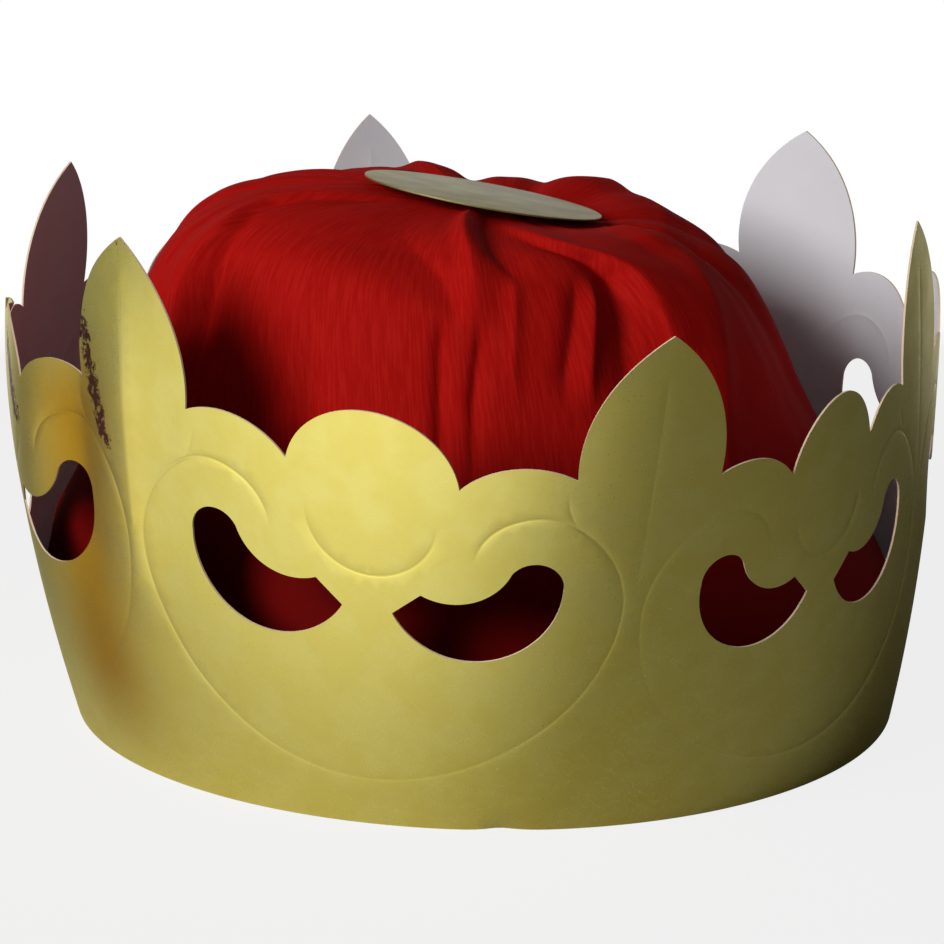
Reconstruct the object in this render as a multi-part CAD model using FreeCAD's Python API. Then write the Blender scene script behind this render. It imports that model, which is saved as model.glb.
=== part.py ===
import FreeCAD, Part
import math
import os
from FreeCAD import Base, Vector

# A paper crown standing on its bottom edge. Millimetres, +Z up, origin on the table under the
# middle of the band's outline. The front of the crown faces -Y.

# Card band: six petals with a round lobe between each pair. Petals run counter-clockwise
# seen from above, from the front right one round to the front left one.
BASE_RADIUS = [92.0, 93.0, 89.5, 90.0, 91.5, 87.0]
FLARE_ANGLE = [27.0, 13.5, 12.0, 7.5, 17.5, 13.5]
LEAN_ANGLE = [3.5, -11.0, -1.5, 2.0, -8.0, 0.0]
PETAL_CURL = [0.5, 1.3, 2.2, 1.3, -5.5, 1.5]
FRONT_RIGHT_PETAL_ANGLE = 283.0
WALL_BOW = 7.3
WALL_BOW_HEIGHT = 75.0
CURL_START = 60.0
CURL_REACH = 50.0
GIRTH_HEIGHT = 55.0
CARD_THICKNESS = 0.4

# Cut outline of the band, as heights up the wall and distances along it.
PETAL_HEIGHT = 119.5
PETAL_HALF_WIDTH = 15.1
PETAL_NOTCH_HEIGHT = 87.5
PETAL_BULGE = 5.0
SHOULDER_RISE = 3.9
LOBE_HEIGHT = 96.3
LOBE_HALF_WIDTH = 16.2
LOBE_NOTCH_HEIGHT = 82.7

# Crescent cut-outs, a mirrored pair under each lobe, measured from the lobe's centre line.
CRESCENT_TIP = (5.0, 52.8)
CRESCENT_CORNER = (10.4, 57.9)
CRESCENT_VALLEY = (19.0, 57.2)
CRESCENT_NECK = (27.4, 65.2)
CRESCENT_END = (32.9, 67.9)
CRESCENT_SIDE = (37.7, 61.8)
CRESCENT_BELLY = (21.8, 43.6)

# Glued lap that closes the band: a tab of the same card inside the wall.
LAP_PLACE = 1.5
LAP_WIDTH = 14.0
LAP_BOTTOM = 1.5
LAP_TOP = 40.0
LAP_MARGIN = 6.0
LAP_EASE = 14.0

# Crepe puff: hem glued inside the band, rising to a gathered top.
GLUE_GAP = 0.35
CREPE_THICKNESS = 0.4
HEM_BOTTOM = 4.0
HEM_TOP = 22.0
PLEAT_COUNT = 17
PLEAT_SHARPNESS = 2.0
GATHER_HEIGHT = 112.5
GATHER_CENTRE = (2.0, -2.0)
GATHER_RADIUS = 7.0

# Profile of the puff: height, radius, centre shift to the left, depth of the pleats, and how
# much of the disc's tilt the row takes.
PUFF_ROWS = [
    (50.0, 81.5, 0.0, 0.5, 0.0),
    (64.0, 77.5, 1.0, 1.0, 0.0),
    (78.0, 74.0, 2.0, 1.5, 0.0),
    (90.0, 71.0, 3.5, 2.0, 0.1),
    (99.5, 67.5, 4.5, 2.6, 0.2),
    (106.5, 60.5, 5.5, 3.2, 0.35),
    (110.0, 51.0, 5.5, 3.6, 0.5),
    (111.5, 40.0, 4.0, 3.4, 0.7),
    (110.8, 29.0, 2.0, 2.6, 1.0),
    (110.6, 19.0, 0.0, 1.6, 1.0),
    (111.6, 11.5, 0.0, 0.5, 1.0),
]

# Folds of the puff. Each is a run of stations from the hem up to the gather: place in rows, polar
# angle in degrees, height (below zero a valley), and reach to its left and to its right.
LEFT_PLEAT = [
    (3.5, 221, 0, 14, 5), (5.2, 216, 1, 14, 5), (6, 214.5, 2.8, 14, 5), (7.2, 216, 3.4, 14, 4.5),
    (8.3, 217, 3, 12, 4), (8.9, 213.5, 2.4, 9, 4), (9.4, 212.5, 2.2, 8, 4), (10, 215.6, 1.6, 6, 4),
    (12, 232, 0, 4, 3),
]
LEFT_PLEAT_VALLEY = [
    (4.8, 222, 0, 5, 8), (5.6, 221, -3, 5, 8), (6.3, 221, -4.5, 5, 9), (7.2, 222.5, -3.8, 5, 7),
    (8.2, 221.5, -2.4, 4, 6), (9.4, 217, -1.6, 4, 6), (10, 220, -1, 4, 6), (12, 235, 0, 3, 5),
]
FRONT_VALLEY = [
    (2.2, 240, 0, 9, 9), (3.4, 240, -2.5, 9, 9), (4.6, 240.5, -3.6, 9, 9), (5.8, 239, -2, 8, 8),
    (6.8, 239, 0, 8, 8),
]
SHOULDER_HOLLOW = [
    (6.7, 270, 0, 8, 5), (7.8, 268, -3.5, 14, 5), (8.6, 262, -4.5, 22, 8), (9.4, 256, -3.5, 20, 12),
    (10.4, 252, -2, 14, 12), (11.4, 252, 0, 10, 10),
]
FRONT_RIDGE = [
    (6.6, 273, 0, 5, 5), (7.9, 274, 2.2, 4.5, 4.5), (8.6, 273.8, 2.8, 4, 4), (9.4, 272, 2.8, 4, 4),
    (10.2, 270.4, 2, 3.5, 3.5), (12, 266, 0, 2, 3),
]
FRONT_RIDGE_VALLEY = [
    (7.6, 284, 0, 4, 7), (8.5, 281, -2.4, 4, 8), (9.2, 280, -2.6, 4, 9), (10, 279, -2, 3, 8),
    (12, 275, 0, 2, 4),
]
RIGHT_VALLEY = [
    (4.8, 297, 0, 5, 5), (5.8, 298, -2.5, 6, 5), (6.5, 300, -4, 7, 5), (7.3, 301.5, -4.5, 7, 4.5),
    (7.9, 302, -4, 6, 4), (8.5, 299.5, -2.5, 5, 4), (9.2, 292, -1.5, 4, 4), (10.2, 284, 0, 4, 3),
]
RIGHT_VALLEY_EDGE = [
    (4.5, 307, 0, 4.5, 12), (5.5, 307.5, 1.5, 4.5, 10), (6.3, 307.8, 2.4, 4.5, 10),
    (7.2, 307.8, 2.8, 4.5, 9), (7.9, 307.6, 2.4, 4, 8), (8.5, 304, 1.8, 4, 6), (9.2, 295, 1.4, 4, 5),
    (11.2, 282, 0, 3, 3),
]
RIGHT_CORNER = [
    (3, 309, 0, 10, 8), (4.2, 311, 2.5, 10, 8), (5.1, 313.4, 3.2, 11, 7), (6.3, 318.7, 3.2, 12, 6),
    (7.1, 322, 2.6, 12, 5), (8, 327, 1.2, 12, 6), (8.6, 330, 0, 12, 8),
]
RIGHT_FLAT = [
    (3, 350, 0, 22, 30), (4.5, 350, -5, 22, 30), (6, 350, -6.5, 24, 30), (7.2, 352, -7.5, 24, 26),
    (8.2, 356, -6.5, 24, 24), (9.4, 360, -2, 20, 20), (10.4, 360, 0, 16, 16),
]
LEFT_FLAT = [
    (5, 180, 0, 24, 20), (6.2, 180, -1.5, 24, 20), (7.2, 182, -4, 26, 20), (8.2, 184, -6, 26, 20),
    (9.2, 184, -5, 24, 18), (10.2, 184, -3, 16, 14), (11.4, 184, 0, 10, 10),
]
BACK_RIGHT_BULGE = [
    (6.6, 50, 0, 18, 18), (8, 50, 3, 18, 18), (8.9, 50, 5.5, 18, 18), (9.8, 52, 4.5, 14, 14),
    (10.8, 55, 1.5, 8, 8), (11.6, 58, 0, 6, 6),
]
BACK_BULGE = [
    (7, 101, 0, 10, 10), (8.5, 101, 2, 10, 10), (9.5, 101, 3.8, 9, 9), (10.4, 101, 3, 8, 8),
    (11.6, 101, 0, 6, 6),
]
FOLDS = [
    LEFT_PLEAT, LEFT_PLEAT_VALLEY, FRONT_VALLEY, SHOULDER_HOLLOW, FRONT_RIDGE, FRONT_RIDGE_VALLEY,
    RIGHT_VALLEY, RIGHT_VALLEY_EDGE, RIGHT_CORNER, RIGHT_FLAT, LEFT_FLAT, BACK_RIGHT_BULGE, BACK_BULGE,
]
FOLD_CRISPNESS = 1.5
FIRST_PROFILE_PLACE = 3.0
FRONT_PLEAT_SHARE = 0.15

# Gold card disc glued on the gathers, tilted down to the right and a little to the back.
DISC_RADIUS = 26.0
DISC_THICKNESS = 0.4
DISC_TILT_RIGHT = 10.9
DISC_TILT_BACK = 3.4

# Fineness of the walls: columns round the ring and rows up the band.
BAND_COLUMNS = 72
BAND_ROWS = 8
CREPE_COLUMNS = 102
GIRTH_STEPS = 720

PETALS = len(BASE_RADIUS)
TURN = 2.0 * math.pi


def ring_blend(values, turn):
    """Smooth closed curve through one value at each petal; turn 0 is the first petal."""
    count = len(values)
    total = 0.0
    for place, value in enumerate(values):
        away = turn - place / count
        away = away - round(away)
        if abs(away) < 1e-9:
            weight = 1.0
        else:
            weight = math.sin(math.pi * count * away) / (count * math.tan(math.pi * away))
        total += value * weight
    return total


def wall_radius(turn, height):
    """Radius of the outer face at a height up the wall."""
    flare = math.radians(ring_blend(FLARE_ANGLE, turn))
    bow = WALL_BOW * (height / WALL_BOW_HEIGHT) ** 2
    curl = max(0.0, (height - CURL_START) / CURL_REACH) ** 2
    radius = ring_blend(BASE_RADIUS, turn) + height * math.sin(flare) - bow
    return radius + ring_blend(PETAL_CURL, turn) * curl


def girth_table():
    """Polar angle at equal steps of card length, and the whole length, at girth height."""
    inverse = [1.0 / wall_radius(step / GIRTH_STEPS, GIRTH_HEIGHT) for step in range(GIRTH_STEPS + 1)]
    sums = [0.0]
    for step in range(GIRTH_STEPS):
        sums.append(sums[-1] + (inverse[step] + inverse[step + 1]) / 2.0 / GIRTH_STEPS)
    return [TURN * value / sums[-1] for value in sums], TURN / sums[-1]


GIRTH_ANGLES, GIRTH = girth_table()
PITCH = GIRTH / PETALS


def polar_angle(turn):
    """Angle round the crown for a share of the card's length."""
    whole = math.floor(turn)
    place = (turn - whole) * GIRTH_STEPS
    low = min(int(place), GIRTH_STEPS - 1)
    part = place - low
    angle = GIRTH_ANGLES[low] * (1.0 - part) + GIRTH_ANGLES[low + 1] * part
    return angle + TURN * whole + math.radians(FRONT_RIGHT_PETAL_ANGLE)


def wall_point(turn, height, inset):
    """Point of the wall, moved in towards the axis by the inset."""
    flare = math.radians(ring_blend(FLARE_ANGLE, turn))
    lean = math.radians(ring_blend(LEAN_ANGLE, turn))
    radius = wall_radius(turn, height) - inset / math.cos(flare)
    angle = polar_angle(turn)
    aside = height * math.tan(lean)
    x = radius * math.cos(angle) - aside * math.sin(angle)
    y = radius * math.sin(angle) + aside * math.cos(angle)
    return Vector(x, y, height * math.cos(flare))


def band_surface(inset):
    """Closed wall surface whose parameters are card length and height in millimetres."""
    step_up = (PETAL_HEIGHT + CARD_THICKNESS) / (BAND_ROWS - 3)
    step_round = GIRTH / BAND_COLUMNS
    poles = []
    for column in range(BAND_COLUMNS):
        turn = (column - 1) / BAND_COLUMNS - 0.5 / PETALS
        poles.append([wall_point(turn, step_up * (row - 1), inset) for row in range(BAND_ROWS)])
    surface = Part.BSplineSurface()
    knots_round = [step_round * place for place in range(BAND_COLUMNS + 1)]
    knots_up = [step_up * (place - 3) for place in range(BAND_ROWS + 4)]
    surface.buildFromPolesMultsKnots(
        poles, [1] * len(knots_round), [1] * len(knots_up), knots_round, knots_up, True, False, 3, 3)
    return surface


def arc(start, middle, end):
    """Arc through three points of the flat pattern."""
    return Part.Geom2d.ArcOfCircle2d(Base.Vector2d(*start), Base.Vector2d(*middle), Base.Vector2d(*end))


def line(start, end):
    """Straight line of the flat pattern."""
    return Part.Geom2d.Line2dSegment(Base.Vector2d(*start), Base.Vector2d(*end))


def bulged(start, end, bulge):
    """Arc from start to end that stands out to the left of its chord by the bulge."""
    across = (end[0] - start[0], end[1] - start[1])
    length = math.hypot(*across)
    middle = ((start[0] + end[0]) / 2.0, (start[1] + end[1]) / 2.0)
    top = (middle[0] - across[1] / length * bulge, middle[1] + across[0] / length * bulge)
    return arc(start, top, end)


def half_outline(centre, side):
    """Top edge from a lobe's centre line to the petal's tip, on one side of the petal."""
    lobe_centre = centre + side * PITCH / 2.0

    def at(distance, height):
        return (lobe_centre - side * distance, height)

    lobe_slope = math.hypot(LOBE_HALF_WIDTH, LOBE_HEIGHT - LOBE_NOTCH_HEIGHT)
    lobe_drop = LOBE_HEIGHT - LOBE_NOTCH_HEIGHT
    lobe_size = lobe_slope ** 2 / (2.0 * lobe_drop)
    half_turn = math.atan2(LOBE_HALF_WIDTH, lobe_size - lobe_drop) / 2.0
    lobe_middle = at(lobe_size * math.sin(half_turn), LOBE_HEIGHT - lobe_size * (1.0 - math.cos(half_turn)))
    petal_notch = (centre + side * PETAL_HALF_WIDTH, PETAL_NOTCH_HEIGHT)
    curves = [arc(at(0.0, LOBE_HEIGHT), lobe_middle, at(LOBE_HALF_WIDTH, LOBE_NOTCH_HEIGHT))]
    curves.append(bulged(at(LOBE_HALF_WIDTH, LOBE_NOTCH_HEIGHT), petal_notch, -side * SHOULDER_RISE))
    curves.append(bulged(petal_notch, (centre, PETAL_HEIGHT), -side * PETAL_BULGE))
    return curves


def crescent_outline(centre, side):
    """Closed outline of the crescent between a petal and the lobe on one side of it."""
    lobe_centre = centre + side * PITCH / 2.0

    def at(point):
        return (lobe_centre - side * point[0], point[1])

    return [
        line(at(CRESCENT_TIP), at(CRESCENT_CORNER)),
        arc(at(CRESCENT_CORNER), at(CRESCENT_VALLEY), at(CRESCENT_NECK)),
        arc(at(CRESCENT_NECK), at(CRESCENT_END), at(CRESCENT_SIDE)),
        arc(at(CRESCENT_SIDE), at(CRESCENT_BELLY), at(CRESCENT_TIP)),
    ]


def unit_curves(number):
    """Curves of one sixth of the band: sides, bottom edge, top edge and two crescents."""
    start = PITCH * number
    end = start + PITCH
    centre = start + PITCH / 2.0
    bottom = line((start, 0.0), (end, 0.0))
    right = line((end, 0.0), (end, LOBE_HEIGHT))
    left = line((start, LOBE_HEIGHT), (start, 0.0))
    top = half_outline(centre, 1.0) + half_outline(centre, -1.0)[::-1]
    holes = [crescent_outline(centre, -1.0), crescent_outline(centre, 1.0)]
    return bottom, right, top, left, holes


def edges_on(curves, surface):
    """Edges of the flat pattern laid on the wall."""
    return [curve.toShape(surface) for curve in curves]


def unit_face(surface, number):
    """Face of one sixth of the wall, with its crescents cut out."""
    bottom, right, top, left, holes = unit_curves(number)
    patch = surface.copy()
    patch.segment(PITCH * number, PITCH * (number + 1), 0.0, PETAL_HEIGHT)
    face = Part.Face(patch, Part.Wire(edges_on([bottom, right] + top + [left], patch)))
    for hole in holes:
        face = face.cut(Part.Face(patch, Part.Wire(edges_on(hole, patch)))).Faces[0]
    return face, patch


def flat_rim(outer, inner):
    """Flat face between two edges that lie in one plane and run the same way."""
    ends = [Part.makeLine(outer.valueAt(place), inner.valueAt(place)) for place in outer.ParameterRange]
    return Part.Face(Part.Wire([outer, ends[1], inner, ends[0]]))


def rim_faces(outer_patch, inner_patch, number):
    """Cut edges of the card between the outer and the inner face."""
    bottom, right, top, left, holes = unit_curves(number)
    curves = top + [curve for hole in holes for curve in hole]
    pairs = zip(edges_on(curves, outer_patch), edges_on(curves, inner_patch))
    rims = [Part.makeRuledSurface(outer, inner) for outer, inner in pairs]
    return rims + [flat_rim(*[edges_on([bottom], patch)[0] for patch in (outer_patch, inner_patch)])]


def closed_solid(faces):
    """Solid from faces that meet along their edges."""
    shell = Part.makeShell(faces)
    shell.sewShape(1e-3)
    solid = Part.makeSolid(Part.Shell(shell.Faces))
    if solid.Volume < 0.0:
        solid.reverse()
    return solid


def lap_tab():
    """Tab of card glued against the inner face of the wall, under a lobe."""
    outer = band_surface(CARD_THICKNESS / 2.0)
    inner = band_surface(2.0 * CARD_THICKNESS)
    start = PITCH * (LAP_PLACE + 0.5) - LAP_WIDTH / 2.0
    edges = [
        line((start, LAP_BOTTOM), (start + LAP_WIDTH, LAP_BOTTOM)),
        line((start + LAP_WIDTH, LAP_BOTTOM), (start + LAP_WIDTH, LAP_TOP)),
        line((start + LAP_WIDTH, LAP_TOP), (start, LAP_TOP)),
        line((start, LAP_TOP), (start, LAP_BOTTOM)),
    ]
    for surface in (outer, inner):
        surface.segment(start, start + LAP_WIDTH, LAP_BOTTOM, LAP_TOP)
    faces = [Part.Face(surface, Part.Wire(edges_on(edges, surface))) for surface in (outer, inner)]
    faces += [Part.makeRuledSurface(a, b) for a, b in zip(edges_on(edges, outer), edges_on(edges, inner))]
    return closed_solid(faces)


def make_band():
    """Die-cut card band, closed in a ring by its glued lap."""
    outer = band_surface(0.0)
    inner = band_surface(CARD_THICKNESS)
    faces = []
    for number in range(PETALS):
        outer_face, outer_patch = unit_face(outer, number)
        inner_face, inner_patch = unit_face(inner, number)
        faces += [outer_face, inner_face]
        faces += rim_faces(outer_patch, inner_patch, number)
    return closed_solid(faces).fuse(lap_tab())


def tilt_rise(x, y):
    """Height of the disc's plane over the gather's centre."""
    right = math.tan(math.radians(DISC_TILT_RIGHT))
    back = math.tan(math.radians(DISC_TILT_BACK))
    return -(x - GATHER_CENTRE[0]) * right - (y - GATHER_CENTRE[1]) * back


def pleat(angle):
    """Depth share of the pleats: 0 on a ridge, 1 in a valley, unevenly spaced."""
    warped = PLEAT_COUNT * angle + 1.1 * math.sin(2.0 * angle + 0.6) + 0.8 * math.sin(3.0 * angle + 2.0)
    valley = (0.5 + 0.5 * math.cos(warped)) ** PLEAT_SHARPNESS
    behind = FRONT_PLEAT_SHARE + (1.0 - FRONT_PLEAT_SHARE) * min(1.0, max(0.0, 0.75 + 0.75 * math.sin(angle)))
    return behind * valley * (0.75 + 0.25 * math.sin(5.0 * angle + 1.0))


def between(stations, place, column):
    """Value of one column of a fold's stations at a place."""
    before = stations[0]
    for after in stations[1:]:
        if place < after[0]:
            share = max(0.0, (place - before[0]) / (after[0] - before[0]))
            return before[column] + (after[column] - before[column]) * share
        before = after
    return before[column]


def fold_height(angle, place, radius):
    """Height of all folds at a polar angle and a place up the sheet."""
    total = 0.0
    for stations in FOLDS:
        height = between(stations, place, 2)
        away = angle - math.radians(between(stations, place, 1))
        aside = (away - TURN * round(away / TURN)) * radius
        reach = between(stations, place, 3 if aside < 0.0 else 4)
        total += height * math.exp(-((abs(aside) / reach) ** FOLD_CRISPNESS))
    return total


def lap_share(turn):
    """How far the hem has moved in to run over the lap: 1 on the lap, 0 away from it."""
    away = turn - LAP_PLACE / PETALS
    distance = abs(away - round(away)) * GIRTH - LAP_WIDTH / 2.0 - LAP_MARGIN
    return min(1.0, max(0.0, 1.0 - distance / LAP_EASE))


def crepe_column(turn, walls):
    """Points of the puff's outer face from the hem up to the gather."""
    angle = polar_angle(turn)
    outward = Vector(math.cos(angle), math.sin(angle), 0.0)
    place = ((turn + 0.5 / PETALS) % 1.0) * GIRTH
    share = lap_share(turn)
    points = []
    for height in (HEM_BOTTOM, (HEM_BOTTOM + HEM_TOP) / 2.0, HEM_TOP):
        points.append(walls[0].value(place, height) * (1.0 - share) + walls[1].value(place, height) * share)
    first = PUFF_ROWS[0]
    leave = points[-1] * 0.5 + (outward * first[1] + Vector(0.0, 0.0, first[0])) * 0.5
    points.append(leave)
    for row, (height, radius, shift, depth, tilt) in enumerate(PUFF_ROWS):
        level = min(1.0, max(0.0, (first[1] - radius) / (first[1] - GATHER_RADIUS)))
        raised = fold_height(angle, FIRST_PROFILE_PLACE + row, radius) / math.hypot(1.0 - level, level)
        fold = depth * pleat(angle) - raised
        spot = outward * (radius - fold * (1.0 - level)) + Vector(-shift, 0.0, 0.0)
        spot += Vector(GATHER_CENTRE[0], GATHER_CENTRE[1], 0.0) * level
        drop = fold * level
        points.append(Vector(spot.x, spot.y, height - drop + tilt * tilt_rise(spot.x, spot.y)))
    x = GATHER_CENTRE[0] + GATHER_RADIUS * outward.x
    y = GATHER_CENTRE[1] + GATHER_RADIUS * outward.y
    points.append(Vector(x, y, GATHER_HEIGHT + tilt_rise(x, y)))
    return points


def disc_normal():
    """Direction square to the tilted disc."""
    return Vector(
        math.tan(math.radians(DISC_TILT_RIGHT)), math.tan(math.radians(DISC_TILT_BACK)), 1.0).normalize()


def inward_columns(columns):
    """The same columns moved in by the crepe's thickness, square to the face."""
    count = len(columns)
    moved = []
    for place, column in enumerate(columns):
        after = columns[(place + 1) % count]
        before = columns[place - 1]
        points = []
        for row, point in enumerate(column):
            below = column[max(row - 1, 0)]
            above = column[min(row + 1, len(column) - 1)]
            normal = (after[row] - before[row]).cross(above - below)
            if row < 1:
                normal.z = 0.0
            if row == len(column) - 1:
                normal = disc_normal()
            points.append(point - normal.normalize() * CREPE_THICKNESS)
        moved.append(points)
    return moved


def closed_surface(columns):
    """Surface over closed columns of points, ending on its first and last row."""
    rows = len(columns[0])
    surface = Part.BSplineSurface()
    knots_round = list(range(len(columns) + 1))
    knots_up = list(range(rows - 2))
    ends = [4] + [1] * (len(knots_up) - 2) + [4]
    surface.buildFromPolesMultsKnots(
        columns, [1] * len(knots_round), ends, knots_round, knots_up, True, False, 3, 3)
    return surface


def end_edge(surface, level):
    """Closed edge of a surface at one end."""
    return surface.vIso(level).toShape()


def make_crepe():
    """Crepe puff: a thin shell open below, its hem inside the band, its top gathered flat."""
    walls = [band_surface(CARD_THICKNESS + GLUE_GAP), band_surface(2.0 * CARD_THICKNESS + GLUE_GAP)]
    columns = [crepe_column(place / CREPE_COLUMNS, walls) for place in range(CREPE_COLUMNS)]
    outer = closed_surface(columns)
    inner = closed_surface(inward_columns(columns))
    top = outer.bounds()[3]
    hem = Part.makeRuledSurface(end_edge(outer, 0.0), end_edge(inner, 0.0))
    caps = [Part.Face(Part.Wire([end_edge(surface, top)])) for surface in (outer, inner)]
    return closed_solid([outer.toShape(), inner.toShape(), hem] + caps)


def make_disc():
    """Flat card disc, its underside on the gathered top of the puff."""
    centre = Vector(GATHER_CENTRE[0], GATHER_CENTRE[1], GATHER_HEIGHT)
    return Part.makeCylinder(DISC_RADIUS, DISC_THICKNESS, centre, disc_normal())


def main():
    """Write each piece of the crown."""
    os.makedirs("parts", exist_ok=True)
    pieces = {"crown_band": make_band(), "crepe_puff": make_crepe(), "top_disc": make_disc()}
    middle = pieces["crown_band"].optimalBoundingBox(False).Center
    for name, shape in pieces.items():
        shape.translate(Vector(-middle.x, -middle.y, 0.0))
        print(name, shape.ShapeType, shape.isValid(), len(shape.Solids), round(shape.Volume, 1), shape.BoundBox)
        shape.exportStep(os.path.join("parts", name + ".step"))


if __name__ == "__main__":
    main()
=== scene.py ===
"""A gold card crown with a gathered crepe puff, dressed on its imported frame."""

import logging
import math
from dataclasses import dataclass, field
from enum import Enum
from typing import Callable

import bpy
import numpy as np
from mathutils import Matrix, Vector
from mathutils.geometry import delaunay_2d_cdt

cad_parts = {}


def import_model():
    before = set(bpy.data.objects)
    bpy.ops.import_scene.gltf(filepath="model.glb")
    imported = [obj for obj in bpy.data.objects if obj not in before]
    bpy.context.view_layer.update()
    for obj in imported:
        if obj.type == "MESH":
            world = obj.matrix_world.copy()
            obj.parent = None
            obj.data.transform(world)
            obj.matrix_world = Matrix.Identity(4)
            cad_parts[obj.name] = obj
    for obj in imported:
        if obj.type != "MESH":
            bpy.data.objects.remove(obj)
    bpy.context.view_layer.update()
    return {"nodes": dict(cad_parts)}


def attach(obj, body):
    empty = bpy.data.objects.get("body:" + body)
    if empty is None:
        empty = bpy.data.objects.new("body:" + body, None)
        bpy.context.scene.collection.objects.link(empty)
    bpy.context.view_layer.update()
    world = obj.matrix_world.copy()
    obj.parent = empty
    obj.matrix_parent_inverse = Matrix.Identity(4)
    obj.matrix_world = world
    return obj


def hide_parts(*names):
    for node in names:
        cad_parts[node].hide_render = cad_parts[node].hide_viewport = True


log = logging.getLogger("crown")

MM = 0.001
Colour = tuple[float, float, float, float]
Point = tuple[float, float]


class Slot(Enum):
    """Names for material slots, which nothing in the script uses."""

    CARD = "gold_card"
    CREPE = "red_crepe"
    DISC = "disc_card"


# Small helpers


def srgb(red: int, green: int, blue: int) -> Colour:
    """Linear colour of a colour written as 0 to 255.

    Args:
        red, green, blue: the colour as it shows on a screen.

    Returns:
        The linear colour with full alpha.
    """
    parts = []
    for value in (red, green, blue):
        part = value / 255.0
        parts.append(part / 12.92 if part <= 0.04045 else ((part + 0.055) / 1.055) ** 2.4)
    return (parts[0], parts[1], parts[2], 1.0)


def smooth_step(value: np.ndarray) -> np.ndarray:
    """Soft ramp from 0 to 1.

    Args:
        value: shares, cut to 0 and 1.

    Returns:
        The eased shares.
    """
    part = np.clip(value, 0.0, 1.0)
    return part * part * (3.0 - 2.0 * part)


def mesh_object(name: str, points: np.ndarray, faces: list) -> bpy.types.Object:
    """New object from points in millimetres.

    Args:
        name: name of the piece.
        points: rows of x, y, z in millimetres.
        faces: lists of point numbers.

    Returns:
        The object, linked to the scene.
    """
    mesh = bpy.data.meshes.new(name)
    mesh.from_pydata([tuple(row) for row in points * MM], [], faces)
    mesh.update()
    piece = bpy.data.objects.new(name, mesh)
    bpy.context.collection.objects.link(piece)
    return piece


def choose(piece: bpy.types.Object) -> None:
    """Makes one object the only selected one, and the active one."""
    bpy.ops.object.select_all(action="DESELECT")
    piece.select_set(True)
    bpy.context.view_layer.objects.active = piece


# Folds and the wall's shape


@dataclass(frozen=True)
class Fold:
    """One crease, ridge or hollow of a sheet, as stations along its run.

    A station is: place along the run, where its crest lies across the sheet, height (less than
    zero is a valley), and the reach to its left and right, in millimetres.
    """

    name: str
    stations: tuple[tuple[float, float, float, float, float], ...]
    crispness: float = 1.5

    def crest(self, place: np.ndarray) -> np.ndarray:
        """Where the crest lies at a place along the run."""
        table = np.array(self.stations)
        return np.interp(place, table[:, 0], table[:, 1])

    def height(self, aside: np.ndarray, place: np.ndarray) -> np.ndarray:
        """Height of the fold.

        Args:
            aside: distance to the right of the crest, in millimetres.
            place: place along the run.

        Returns:
            Height in millimetres.
        """
        table = np.array(self.stations)
        left, right = (np.interp(place, table[:, 0], table[:, k]) for k in (3, 4))
        height = np.interp(place, table[:, 0], table[:, 2], 0.0, 0.0)
        return height * np.exp(-((np.abs(aside) / np.where(aside < 0.0, left, right)) ** self.crispness))


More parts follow.
